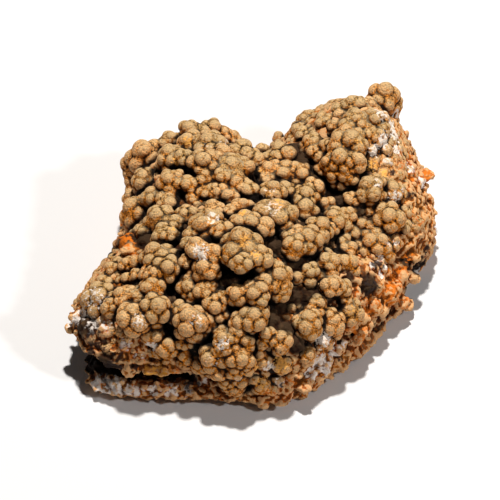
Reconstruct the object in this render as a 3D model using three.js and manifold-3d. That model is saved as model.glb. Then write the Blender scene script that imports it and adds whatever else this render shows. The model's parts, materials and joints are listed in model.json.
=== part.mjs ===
// Mottramite specimen: a slab of rusty, iron-stained rock whose face is grown over with
// olive-brown knobs of mottramite, each knob a bunch of smaller rounded lobes.
// Millimetres, +Z up. The origin is on the ground, under the middle of the specimen.
// The knobbly face leans back, and it is looked at from the front (-Y) and above.

import * as THREE from "three";
import { mergeVertices } from "three/addons/utils/BufferGeometryUtils.js";
import Module from "manifold-3d";

const wasm = await Module();
wasm.setup();

// The rock's footprint: how far it reaches from its middle, every 15 degrees from +X towards +Y.
const ROCK_REACH = [
  44.5, 47, 49.5, 54.5, 53, 42.5, 36, 38.5, 39.5, 40, 38.5, 35.5,
  34.5, 45, 55.5, 54.5, 46.5, 43, 43.5, 43, 38.5, 37.5, 38, 39.5,
];
const ROCK_HEIGHT = 27;
const SHOULDER = 5.5; // a higher power gives a flatter top and steeper sides
const SIDE_POWER = 0.5;
const FOOT_INSET = 5; // the flat underside stops this far inside the footprint
const FOOT_RISE = 3.5; // height over which the foot widens to the full footprint
const FOOT_BEVEL = 0.3; // share of the inset that is left halfway up the foot
const WALL_INSET = 1; // the sides stand this far inside the footprint
const LEDGE_ONSET = 6; // a higher power keeps the ledges nearer to the edge of the top
const TOP_ROUGHNESS = { depth: 0.5, size: 9 };
const SIDE_ROUGHNESS = { depth: 1.1, size: 11, girth: 30, steepness: 2 };

// Broad swells (rise above 0) and hollows (below 0) of the rock's top.
const SWELLS = [
  { x: -4, y: -16, rise: 4, spread: 15 },
  { x: 29, y: 29, rise: 11, spread: 16 },
  { x: -16, y: 14, rise: 3, spread: 13 },
  { x: 1, y: 31, rise: -8, spread: 9 },
  { x: 15, y: 3, rise: -6, spread: 7 },
  { x: 21, y: -8, rise: -5, spread: 6 },
  { x: -17, y: -27, rise: -5, spread: 5 },
  { x: 9, y: -30, rise: -5, spread: 6 },
  { x: -40, y: -18, rise: -4, spread: 12 },
  { x: 36, y: -8, rise: -7, spread: 12 },
];

// Broken ledges round the rock's sides: their heights, how far they stand out, and their thickness.
const LEDGES = [
  { height: 2.2, stands: 2.5, half: 2, bearing: 232, spread: 30 },
  { height: 4, stands: -6, half: 4.5, bearing: 202, spread: 16 },
  { height: 7, stands: -4, half: 2.6, bearing: 224, spread: 30 },
  { height: 11.5, stands: 1.4, half: 1.8, bearing: 222, spread: 34 },
  { height: 3, stands: -4, half: 4, bearing: 348, spread: 24 },
  { height: 6, stands: -2.5, half: 2.5, bearing: 322, spread: 24 },
  { height: 12, stands: -2.6, half: 3, bearing: 100, spread: 60 },
];

// The crust: a thin sheet over the rock's top, which runs a little way down its sides in places.
const SHEET_THICK = 1.7;
// How far out it reaches, every 30 degrees: 1 is the rock's shoulder and more is down its side.
const SHEET_EDGE = [0.8, 0.88, 1, 0.98, 1, 1.02, 1, 0.92, 0.96, 1.22, 0.8, 0.76];
const SHEET_FADE = 0.1; // the share over which it thins out to nothing
const SHEET_SINK = 1; // past its edge it lies this far inside the rock
const SHEET_ROUGHNESS = { depth: 0.4, size: 6, girth: 40 };
const SEAT_GAP = 0.3; // clearance between the crust and the rock under it

// How the face is looked at, for placing the knobs.
const LOOK_DOWN = THREE.MathUtils.degToRad(45);
const FACE_MIDDLE = { x: -1.5, up: 8.5 };

// The knobs, row by row, as they show on the face: [mm right of the middle, mm up, radius, mm proud].
const KNOBS = {
  farLeft: [
    [-26.5, 23, 3.8, 3], [-27, 17.5, 2.8, 3], [-30, 13, 2.1, 2], [-25, 13, 2.5, 3], [-21, 12, 2.3, 2],
    [-29, 9, 3.5, 3], [-23, 8, 3, 3], [-22, 4, 2.3, 2], [-20, 3.5, 2, 2], [-19, 6.5, 1.8, 2],
    [-27, 4.5, 1.8, 1], [-30.5, 21.5, 1.6, 2],
  ],
  backCrown: [
    [-20, 27, 2.3, 1], [-15, 30, 2.3, 0], [-13, 29, 2.5, 1], [-9.5, 30.5, 2.2, 0], [-7, 29, 2.2, 0],
    [-4.5, 27.5, 1.8, 1], [-9.5, 26, 3.5, 3], [-15, 26.5, 3, 2], [-20, 23, 3, 3], [-16, 23, 2.3, 4],
    [-11.5, 22, 2.8, 5], [-7, 24, 2.3, 4], [-22, 21.5, 1.5, 2], [-2, 24, 3.3, 2], [1.5, 22, 2.5, 1],
    [-4.5, 20, 3.5, 4], [-7, 18.5, 2, 5], [-2, 21, 2.3, 5], [-3, 16, 2.5, 3], [-20, 17, 2.8, 3],
    [-15.5, 16.5, 2, 3], [-18.5, 18.5, 1.6, 4], [-11, 18, 2.5, 3], [-11, 15, 2, 2], [-8, 14.5, 2, 2],
    [-5, 13, 2, 2], [-14.5, 13, 1.5, 1], [-16.5, 9, 1.8, 2], [-14, 9, 1.6, 2], [-9, 10, 2.3, 3],
    [-11, 9, 1.5, 2],
  ],
  saddle: [
    [8.5, 23.5, 3.2, 0], [4.5, 22, 2.3, 0], [5, 20, 2.7, 1], [3, 25, 1.5, 0], [7, 26, 1.6, 0],
    [9, 19, 3, 1], [12.5, 19, 2.8, 1], [15, 17, 2.3, 1], [4, 17, 1.9, 1], [9, 15, 2.1, 2],
    [12, 16.5, 1.9, 1], [7, 28, 1.3, 0],
  ],
  middle: [
    [0, 15, 2.3, 3], [5.5, 14.5, 2.7, 4], [6, 9, 4.2, 5], [14, 13, 3, 4], [16, 15, 2.3, 3],
    [14, 10, 3, 5], [19, 11, 2, 3], [21, 8, 2.5, 3], [20, 6, 2, 3], [17.5, 5, 2.8, 4],
    [15, 3, 2.8, 5], [12, 3.5, 2.3, 4], [10, 3, 1.8, 3], [11.5, 1, 2.5, 4], [14, 1, 2, 4],
    [-2, 11, 2.3, 4], [-5, 9.5, 1.8, 3], [-1, 7, 3, 5], [3, 6, 2.5, 5], [-10.5, 6, 3.6, 5],
    [-7, 4.5, 2.3, 5], [-13, 0.5, 2.5, 6], [-9.5, -0.5, 2.3, 6], [-15.5, 1.5, 1.6, 4], [-14, 4, 2, 4],
    [-2, 1, 4.4, 6], [-2, -3, 2.2, 8], [2, -1.5, 3, 6], [-5, -1, 2, 6],
  ],
  leftShelf: [
    [-23.5, -2, 3.2, 2], [-21, -4.5, 2.8, 3], [-19.5, -1.5, 1.8, 2], [-24, -6, 2, 3], [-31, -3.5, 1.8, 1],
    [-28.5, -3, 1.5, 1], [-34.5, -5, 1.8, 0], [-36.5, -8, 2.3, 0], [-38, -12, 3.5, 1], [-40.5, -12, 2.5, 0],
    [-35, -14, 2, 2], [-31, -11, 2.3, 2], [-32, -13, 1.8, 2], [-34.5, -12, 1.5, 1], [-31, -7, 1.3, 1],
    [-28.5, -6.5, 1.6, 1], [-25.5, -6, 1.9, 2], [-24.5, -9.5, 2.4, 2], [-28, -10, 1.1, 1],
  ],
  frontShelf: [
    [-29, -17, 3.2, 3], [-24, -15, 3.2, 3], [-28, -12, 1.6, 2], [-24, -21.5, 2.3, 1], [-21, -24, 2.5, 1],
    [-23, -25.5, 1.8, 0], [-15, -18, 3.5, 3], [-18, -15.5, 2.3, 2], [-11, -18, 2, 2], [-13, -20.5, 2, 2],
    [-17, -23, 1.8, 1], [-15, -23, 1.6, 1], [-16, -26, 2.3, 0], [-13.5, -24.5, 1.3, 0], [-3, -27, 3.1, 3],
    [-9, -27, 3.3, 3], [-7, -25, 2.3, 4], [-8, -31, 1.7, 4], [-4, -30.5, 2.3, 3], [-1, -29, 2, 2],
    [-4, -34.5, 2, 1], [-12, -28.5, 2, 1], [-6, -32.5, 2, 2], [-2.5, -32.5, 2, 1], [-3, -21.5, 2.5, 2],
    [-7, -21, 1.8, 2], [-6.5, -23, 2.1, 4], [-1, -23, 2, 2],
  ],
  middleTier: [
    [-15.5, -3, 1.9, 3], [-11, -5, 2.8, 4], [-15, -10, 2.6, 3], [-12, -10, 2.3, 4], [-14, -12, 2.3, 3],
    [-10.5, -9, 1.6, 3], [-14.5, -7, 1.7, 3], [-3, -11, 2.3, 3], [1.5, -10.5, 2.8, 4], [2.5, -12.5, 2, 4],
    [3.5, -8, 2.1, 4], [7, -7, 3.2, 4], [8, -10, 2.5, 4], [6, -4.5, 2, 4], [-7, -12, 1.6, 2],
    [-9, -14, 2.5, 2], [-11, -12, 1.3, 2], [-7, -17, 1.8, 1], [1, -17, 2.8, 3], [-2.5, -18, 2.3, 2],
    [3, -15, 1.8, 2],
  ],
  rightSlope: [
    [24.5, 9, 1.8, 1], [24, 6, 1.4, 1], [28, 6.5, 1.3, 0], [30, 6, 1.3, 0], [26, 4, 1.5, 0],
    [29, 3.5, 1.3, 0], [23.5, 2, 1.6, 1], [27, 1, 1.3, 0], [24.5, 0, 2, 1], [27.5, 9.5, 1.2, 0],
    [30, 9.5, 1.4, 0], [25.5, 13, 1.8, 1], [27, 11.5, 1.3, 0], [30, 15, 2.8, 2], [32, 17, 1.8, 1],
    [32, 13, 1.8, 1], [36, 14.5, 2.3, 1], [35, 8, 3.2, 2], [39, 9, 1.8, 0], [38.5, 6, 1.8, 0],
    [41.5, 6.5, 1.8, 0], [32, 1.5, 2.8, 1], [28.5, -0.5, 1.5, 0], [36, 2, 1.8, 1], [34.5, -1, 1.8, 1],
    [20, -3, 2.3, 2], [24, -3, 2.3, 1], [26, -5, 1.5, 0], [15, -5, 1.8, 1], [11.5, -7, 1.5, 1],
    [15, -8, 1.5, 0], [17, -6.5, 1.5, 0], [20.5, -9, 2.3, 2], [23, -10, 2.3, 1], [24, -12, 1.8, 1],
    [20.5, -6, 1.5, 1],
  ],
  lowerRight: [
    [15, -19, 2.8, 2], [13, -18, 2, 1], [16, -16, 2, 1], [17, -13.5, 1.8, 1], [21, -19, 2.5, 2],
    [20, -16, 1.8, 1], [25, -16, 3, 1], [18.5, -22.5, 2, 1], [22, -21, 1.3, 1], [8, -23, 2.3, 1],
    [7, -25, 1.3, 1], [4, -21, 1.9, 1], [3, -23.5, 1.5, 1], [2.5, -26, 1.3, 1], [3, -28, 2, 0],
    [8, -29, 2, 0], [3, -34, 2.2, 0], [5.5, -35, 1.5, 0], [10, -15, 1.5, 0], [14.5, -26, 1.8, 0],
  ],
  rightRidge: [
    [33.5, 38, 3, 0], [36, 36.5, 1.8, 0], [30, 36.5, 1.8, 0], [26, 36.5, 2.3, 0], [22, 35.5, 1.5, 0],
    [22, 34, 1.3, 0], [26, 33, 2.3, 1], [31, 33, 2.3, 1], [28, 31, 1.8, 1], [33, 33, 1.6, 1],
    [14, 33, 1.8, 0], [18, 33.5, 1.3, 0], [12, 30, 2, 0], [10, 28.5, 1.5, 0], [13, 29, 1.8, 0],
    [18.5, 32, 2, 0], [21, 31, 1.6, 1], [24.5, 30, 2.3, 1], [24, 27, 3.4, 3], [26.5, 26.5, 2.5, 4],
    [22, 26, 2, 4], [19, 26, 1.6, 2], [15.5, 27, 2.3, 1], [14, 25.5, 1.8, 0], [16, 24.5, 1.8, 1],
    [30, 29, 2.2, 1], [32, 28, 1.8, 1], [33, 30.5, 1.8, 1], [23, 22.5, 3.2, 4], [20, 22, 2, 4],
    [26, 22, 2.3, 4], [17.5, 23, 1.4, 2], [18, 20, 1.6, 2], [21, 19.5, 1.8, 3], [24, 19.5, 2, 3],
    [21, 16.5, 1.3, 1], [23, 16, 1.3, 1], [25.5, 18, 1.6, 2], [30, 25, 1.5, 1], [29, 23, 1.4, 0],
    [30.5, 21.5, 1.8, 0], [33, 19, 1.3, 0], [34, 25, 1.5, 0],
  ],
};

const SMALLEST_KNOB = 2.5; // smaller ones are only surface texture
const FINER_FROM = 3.9; // larger knobs get twice the facets
const LOBE_COUNT = 9; // rounded lobes that show on one knob
const LOBE_DEPTH = 0.16; // as a share of the knob's radius
const LOBE_ONSET = 0.55; // cosine of the angle from a lobe's middle to its edge
const LOBE_MIDDLE = 0.6; // share of the depth at which the knob keeps its radius
const ROOT_DEPTH = 1.2; // every knob reaches this far down towards the rock
const ROOT_OWN = 0.6; // the share of its radius that it reaches down anyway

const FACET_TOLERANCE = 0.3; // slivers thinner than this are merged into their neighbours

// Knobs on the side that faces away, in rows behind the crest: bearing, share of reach, radius.
const BACK_ROWS = [
  { share: 0.7, from: 22, to: 190, step: 12, radius: 2.9 },
  { share: 0.86, from: 28, to: 184, step: 15, radius: 2.5 },
];
// How much those knobs vary, and how far they stand over the rock and reach into it.
const BACK_VARIETY = { bearing: 4, share: 0.05, smallest: 0.8, growth: 0.45 };
const BACK_PROUD = 0.8;
const BACK_ROOT = 0.5;

const CENTRING = 1; // moves the specimen along X, so that the middle of its width is over the origin
const turn = 2 * Math.PI;
const goldenAngle = Math.PI * (3 - Math.sqrt(5));
const SEARCH = { from: -60, to: 60, step: 0.25 }; // where along Y a line of sight is followed
const SAME_POINT = 1e-4;

// A repeatable number from 0 to 1 for each pair of counters.
function chance(i, k) {
  const s = Math.sin(i * 12.9898 + k * 78.233) * 43758.5453;
  return s - Math.floor(s);
}

// A value along a bearing in radians, smooth between the ones listed at even steps round the circle.
function aroundAt(list, bearing) {
  const n = list.length;
  const place = ((((bearing / turn) % 1) + 1) % 1) * n;
  const i = Math.floor(place);
  const t = place - i;
  const [a, b, c, d] = [-1, 0, 1, 2].map((k) => list[(i + k + n) % n]);
  return b + 0.5 * t * (c - a + t * (2 * a - 5 * b + 4 * c - d + t * (3 * (b - c) + d - a)));
}

const reachAt = (bearing) => aroundAt(ROCK_REACH, bearing);

// Rough, repeatable unevenness from -1 to 1, with swells about `size` mm across.
function unevenness(x, y, z, size) {
  const k = turn / size;
  const wave = Math.sin(k * (x + 0.6 * y)) * Math.cos(k * (0.8 * y - 0.5 * z) + 1.3);
  return wave * 0.6 + 0.4 * Math.sin(k * 1.9 * (z - 0.4 * x + 0.3 * y) + 0.7);
}

function crownHeight(x, y) {
  let z = ROCK_HEIGHT;
  for (const s of SWELLS) {
    z += s.rise * Math.exp(-((x - s.x) ** 2 + (y - s.y) ** 2) / (s.spread * s.spread));
  }
  return z;
}

// Height of the rock's top over the ground, 0 outside its footprint.
function bedHeight(x, y) {
  const share = Math.hypot(x, y) / reachAt(Math.atan2(y, x));
  if (share >= 1) return 0;
  return crownHeight(x, y) * (1 - share ** SHOULDER) ** SIDE_POWER;
}

// How far the ledges push the rock's side out at a height and bearing.
function ledgeOut(height, bearing) {
  let out = 0;
  for (const l of LEDGES) {
    const away = Math.atan2(
      Math.sin(bearing - THREE.MathUtils.degToRad(l.bearing)),
      Math.cos(bearing - THREE.MathUtils.degToRad(l.bearing)),
    );
    const across = Math.exp(-((THREE.MathUtils.radToDeg(away) / l.spread) ** 2));
    const up = Math.exp(-(((height - l.height) / l.half) ** 2));
    out += l.stands * across * up;
  }
  return out;
}

// A closed solid from rings of points: rings[0] is nearest the top pole.
function ringSolid(rings, top, bottom) {
  const n = rings[0].length;
  const points = [top, ...rings.flat(), bottom];
  const at = (r, i) => 1 + r * n + ((i + n) % n);
  const faces = [];
  for (let i = 0; i < n; i++) {
    faces.push(0, at(0, i), at(0, i + 1));
    for (let r = 0; r + 1 < rings.length; r++) {
      faces.push(at(r, i), at(r + 1, i), at(r + 1, i + 1));
      faces.push(at(r, i), at(r + 1, i + 1), at(r, i + 1));
    }
    faces.push(at(rings.length - 1, i + 1), at(rings.length - 1, i), points.length - 1);
  }
  const geometry = new THREE.BufferGeometry();
  geometry.setAttribute("position", new THREE.Float32BufferAttribute(points.flat(), 3));
  geometry.setIndex(faces);
  return geometry;
}

const BEARINGS = 36;
const TOP_SHARES = [0.14, 0.3, 0.45, 0.58, 0.69, 0.79, 0.87, 0.925, 0.962];
const SIDE_HEIGHTS = [18, 15, 12, 9, 6.5, 4]; // rings down the sides, for a lip as high as the first
const SIDE_STEP = 0.06; // what each ring down the side adds to the share
const UNDER_SHARE = 2; // the share that stands for the foot and the underside

// The rock as one closed solid, with `grow(share, bearing)` mm laid on everywhere but underneath.
function rockGeometry(grow) {
  const rings = [];
  const addRing = (place) => {
    rings.push(Array.from({ length: BEARINGS }, (_, i) => {
      const bearing = (i / BEARINGS) * turn;
      const [r, z] = place(bearing);
      return [r * Math.cos(bearing), r * Math.sin(bearing), z];
    }));
  };
  for (const share of TOP_SHARES) {
    addRing((b) => {
      const r = reachAt(b) * share;
      const [x, y] = [r * Math.cos(b), r * Math.sin(b)];
      const z = bedHeight(x, y) + TOP_ROUGHNESS.depth * unevenness(x, y, 0, TOP_ROUGHNESS.size);
      const laid = grow(share, b);
      return [r + ledgeOut(z, b) * share ** LEDGE_ONSET + laid * share, z + laid];
    });
  }
  SIDE_HEIGHTS.forEach((height, k) => {
    addRing((b) => {
      const lip = reachAt(b) * TOP_SHARES.at(-1);
      const lipHeight = bedHeight(lip * Math.cos(b), lip * Math.sin(b));
      const z = height * Math.min(1, (lipHeight - 1) / (SIDE_HEIGHTS[0] + 1));
      const { depth, size, girth, steepness } = SIDE_ROUGHNESS;
      const rough = depth * unevenness(girth * Math.cos(b), girth * Math.sin(b), z * steepness, size);
      return [reachAt(b) - WALL_INSET + ledgeOut(z, b) + rough + grow(1 + k * SIDE_STEP, b), z];
    });
  });
  addRing((b) => {
    const r = reachAt(b) - FOOT_BEVEL * FOOT_INSET + ledgeOut(FOOT_RISE / 2, b);
    return [r + grow(UNDER_SHARE, b), FOOT_RISE / 2];
  });
  addRing((b) => [reachAt(b) - FOOT_INSET + grow(UNDER_SHARE, b), 0]);
  return ringSolid(rings, [0, 0, bedHeight(0, 0) + grow(0, 0)], [0, 0, 0]);
}

// What the crust's sheet lays on the rock: its thickness, and below nothing past its edge.
function sheetLaid(share, bearing) {
  const edge = aroundAt(SHEET_EDGE, bearing);
  const covered = 1 - THREE.MathUtils.smoothstep(share, edge - SHEET_FADE, edge + SHEET_FADE);
  const { depth, size, girth } = SHEET_ROUGHNESS;
  const out = girth * share;
  const uneven = depth * unevenness(out * Math.cos(bearing), out * Math.sin(bearing), 0, size);
  return (SHEET_THICK + SHEET_SINK + uneven) * covered - SHEET_SINK;
}

// Where the line of sight through a place on the face meets the rock, moved `proud` mm towards the eye.
// A line that passes over the crest stops where it is nearest to the rock.
function seatOn(across, up, proud) {
  const x = across + FACE_MIDDLE.x;
  const level = up + FACE_MIDDLE.up;
  const [s, c] = [Math.sin(LOOK_DOWN), Math.cos(LOOK_DOWN)];
  let [seatY, least] = [0, Infinity];
  for (let y = SEARCH.from; y < SEARCH.to && least > 0; y += SEARCH.step) {
    const clear = (level - y * s) / c - bedHeight(x, y);
    if (clear < least) [seatY, least] = [y, clear];
  }
  const z = (level - seatY * s) / c - Math.max(0, least);
  return new THREE.Vector3(x, seatY - proud * c, z + proud * s);
}

// One knob: a ball drawn out towards the rock, its skin raised into rounded lobes.
function knobGeometry(centre, radius, towardsRock, depth, number) {
  const ball = new THREE.IcosahedronGeometry(1, radius > FINER_FROM ? 2 : 1);
  const lobes = Array.from({ length: LOBE_COUNT }, (_, i) => {
    const z = 1 - (2 * (i + 0.5)) / LOBE_COUNT;
    const a = i * goldenAngle + turn * chance(number, 1);
    const flat = Math.sqrt(1 - z * z);
    return new THREE.Vector3(flat * Math.cos(a), flat * Math.sin(a), z);
  });
  const at = ball.getAttribute("position");
  const p = new THREE.Vector3();
  for (let i = 0; i < at.count; i++) {
    p.fromBufferAttribute(at, i).normalize();
    const nearest = Math.max(...lobes.map((l) => l.dot(p)));
    const raised = 1 + LOBE_DEPTH * (THREE.MathUtils.smoothstep(nearest, LOBE_ONSET, 1) - LOBE_MIDDLE);
    const inwards = Math.max(0, p.dot(towardsRock));
    p.multiplyScalar(radius * raised).addScaledVector(towardsRock, depth * inwards * inwards);
    p.add(centre);
    at.setXYZ(i, p.x, p.y, p.z);
  }
  ball.deleteAttribute("normal");
  ball.deleteAttribute("uv");
  return mergeVertices(ball, SAME_POINT);
}

function solidFrom(geometry) {
  return new wasm.Manifold(new wasm.Mesh({
    numProp: 3,
    vertProperties: new Float32Array(geometry.getAttribute("position").array),
    triVerts: new Uint32Array(geometry.index.array),
  }));
}

function geometryFrom(solid) {
  const mesh = solid.getMesh();
  const geometry = new THREE.BufferGeometry();
  geometry.setAttribute("position", new THREE.BufferAttribute(mesh.vertProperties, 3));
  geometry.setIndex(new THREE.BufferAttribute(mesh.triVerts, 1));
  geometry.computeVertexNormals();
  return geometry;
}

function knobSolids() {
  const solids = [];
  const towardsEye = new THREE.Vector3(0, -Math.cos(LOOK_DOWN), Math.sin(LOOK_DOWN));
  for (const row of Object.values(KNOBS)) {
    for (const [across, up, radius, proud] of row) {
      if (radius < SMALLEST_KNOB) continue;
      const centre = seatOn(across, up, proud);
      const depth = Math.max(0, proud + ROOT_DEPTH - ROOT_OWN * radius);
      const inwards = towardsEye.clone().negate();
      solids.push(solidFrom(knobGeometry(centre, radius, inwards, depth, solids.length)));
    }
  }
  for (const row of BACK_ROWS) {
    for (let bearing = row.from; bearing <= row.to; bearing += row.step) {
      const n = solids.length;
      const b = THREE.MathUtils.degToRad(bearing + BACK_VARIETY.bearing * (chance(n, 2) - 0.5));
      const r = reachAt(b) * (row.share + BACK_VARIETY.share * (chance(n, 3) - 0.5));
      const radius = row.radius * (BACK_VARIETY.smallest + BACK_VARIETY.growth * chance(n, 4));
      const [x, y] = [r * Math.cos(b), r * Math.sin(b)];
      const centre = new THREE.Vector3(x, y, bedHeight(x, y) + BACK_PROUD);
      const inwards = new THREE.Vector3(-Math.cos(b), -Math.sin(b), -1).normalize();
      solids.push(solidFrom(knobGeometry(centre, radius, inwards, BACK_ROOT, n)));
    }
  }
  return solids;
}

const rock = solidFrom(rockGeometry(() => 0));
const rockWithGap = solidFrom(rockGeometry(() => SEAT_GAP));
const sheet = solidFrom(rockGeometry(sheetLaid));
const grown = knobSolids().reduce((all, knob) => all.add(knob), sheet);
const largestOf = (solid) => solid.decompose().reduce((a, b) => (b.volume() > a.volume() ? b : a));
const crust = largestOf(grown.simplify(FACET_TOLERANCE).subtract(rockWithGap));

const rockMaterial = new THREE.MeshStandardMaterial({ color: 0x9a5a26, roughness: 0.95, metalness: 0 });
const crustMaterial = new THREE.MeshStandardMaterial({ color: 0x8a7048, roughness: 0.8, metalness: 0 });

const rockMesh = new THREE.Mesh(geometryFrom(rock), rockMaterial);
rockMesh.name = "matrix_rock";
const crustMesh = new THREE.Mesh(geometryFrom(crust), crustMaterial);
crustMesh.name = "mottramite_crust";

const specimen = new THREE.Group();
specimen.add(rockMesh, crustMesh);
specimen.position.x = CENTRING;
export default specimen;
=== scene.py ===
import json
import math

import bmesh
import bpy
import numpy as np
from bpy.props import FloatProperty, FloatVectorProperty, PointerProperty
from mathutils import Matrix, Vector
from mathutils.bvhtree import BVHTree

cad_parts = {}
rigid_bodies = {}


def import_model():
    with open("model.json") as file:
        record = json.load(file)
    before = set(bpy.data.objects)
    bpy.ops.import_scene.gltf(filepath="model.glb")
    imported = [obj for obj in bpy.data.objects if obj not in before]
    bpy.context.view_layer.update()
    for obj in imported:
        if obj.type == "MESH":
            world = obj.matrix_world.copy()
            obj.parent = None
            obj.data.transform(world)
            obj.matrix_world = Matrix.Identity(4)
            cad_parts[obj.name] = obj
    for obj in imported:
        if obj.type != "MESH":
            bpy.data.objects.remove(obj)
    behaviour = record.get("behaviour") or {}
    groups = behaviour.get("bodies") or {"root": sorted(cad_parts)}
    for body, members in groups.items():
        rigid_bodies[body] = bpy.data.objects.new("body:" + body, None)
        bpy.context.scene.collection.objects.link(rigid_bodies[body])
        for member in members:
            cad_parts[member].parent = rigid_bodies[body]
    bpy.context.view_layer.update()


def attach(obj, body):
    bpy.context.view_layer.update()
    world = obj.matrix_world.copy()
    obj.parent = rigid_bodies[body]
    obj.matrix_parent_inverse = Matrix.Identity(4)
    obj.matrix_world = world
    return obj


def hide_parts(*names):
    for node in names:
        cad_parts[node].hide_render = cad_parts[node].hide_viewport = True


bl_info = {
    "name": "Mottramite specimen",
    "version": (1, 0, 0),
    "blender": (4, 5, 0),
    "location": "View3D > Sidebar > Mottramite",
    "description": "Knobs of mottramite grown over a slab of rusty rock",
    "category": "Object",
}

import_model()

MM = 0.001
TURN = 2 * math.pi
ROOT = "root"
SEED = 11
PIECE_TRIANGLES = 192000
KEPT_WHERE_HIDDEN = 0.12
WORTH_THINNING = 0.02

# The rock, in millimetres, as the solids have it.
# Its footprint: how far it reaches from its middle, every 15 degrees from +X towards +Y.
ROCK_REACH = [
    44.5, 47, 49.5, 54.5, 53, 42.5, 36, 38.5, 39.5, 40, 38.5, 35.5,
    34.5, 45, 55.5, 54.5, 46.5, 43, 43.5, 43, 38.5, 37.5, 38, 39.5,
]
ROCK_HEIGHT = 27
SHOULDER = 5.5
LIP_SHARE = 0.962
LEDGE_ONSET = 6
WALL_TOP, WALL_FOOT = 18, 4
WALL_INSET = 1
FOOT_INSET = 5
FOOT_BEVEL = 0.3
FOOT_RISE = 3.5
WALL_SHARE, UNDER_SHARE = 0.02, 2
BEARINGS, TOP_RINGS, WALL_RINGS = 560, 90, 44
TOP_ROUGHNESS = dict(depth=0.5, size=9)
SIDE_ROUGHNESS = dict(depth=1.1, size=11, girth=30, steepness=2)

# Where the rock's own middle lies, in millimetres, so that the specimen is centred over the origin.
MIDDLE = np.array([1.0, 0, 0])

# Lines of sight are followed this far either way, in such steps, over rock of at least such a height.
SIGHT_REACH, SIGHT_STEP = 75, 0.2
LEAST_BED, OUT_OF_REACH = 3, 99

# Broad swells and hollows of the rock's top: x, y, rise, spread.
SWELLS = [
    (-4, -16, 4, 15), (29, 29, 11, 16), (-16, 14, 3, 13), (1, 31, -8, 9), (15, 3, -6, 7),
    (21, -8, -5, 6), (-17, -27, -5, 5), (9, -30, -5, 6), (-40, -18, -4, 12), (36, -8, -7, 12),
]

# Broken ledges round the sides: height, how far it stands out, half thickness, bearing, spread.
LEDGES = [
    (2.2, 2.5, 2, 232, 30), (4, -6, 4.5, 202, 16), (7, -4, 2.6, 224, 30), (11.5, 1.4, 1.8, 222, 34),
    (3, -4, 4, 348, 24), (6, -2.5, 2.5, 322, 24), (12, -2.6, 3, 100, 60),
]

# Thin broken layers that only the fine mesh shows, listed as the ledges are.
LAYERS = [
    (6.2, -1.2, 1.2, 236, 20), (8.6, 1.3, 0.7, 222, 30), (10, -1.6, 0.8, 214, 24), (4.4, 1, 0.6, 236, 22),
    (14.5, 1, 0.8, 205, 26), (13, -1.2, 0.7, 228, 24), (1, 1.2, 0.7, 226, 26), (5, 2.4, 2.2, 346, 26),
    (7, 1, 0.8, 300, 40), (9.6, -1, 0.9, 310, 40),
    (3, -6, 6, 208, 11), (14, -2, 6, 322, 38), (1, 1.6, 3, 322, 36), (5, -5, 6, 357, 8),
    (2, 2.5, 2.5, 346, 5), (2, -5, 7, 203, 9),
]

# How far out the crust reaches, every 30 degrees: 1 is the rock's shoulder, more is down its side.
SHEET_EDGE = [0.8, 0.88, 1, 0.98, 1, 1.02, 1, 0.92, 0.96, 1.22, 0.8, 0.76]
EDGE_FADE = 0.06

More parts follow.
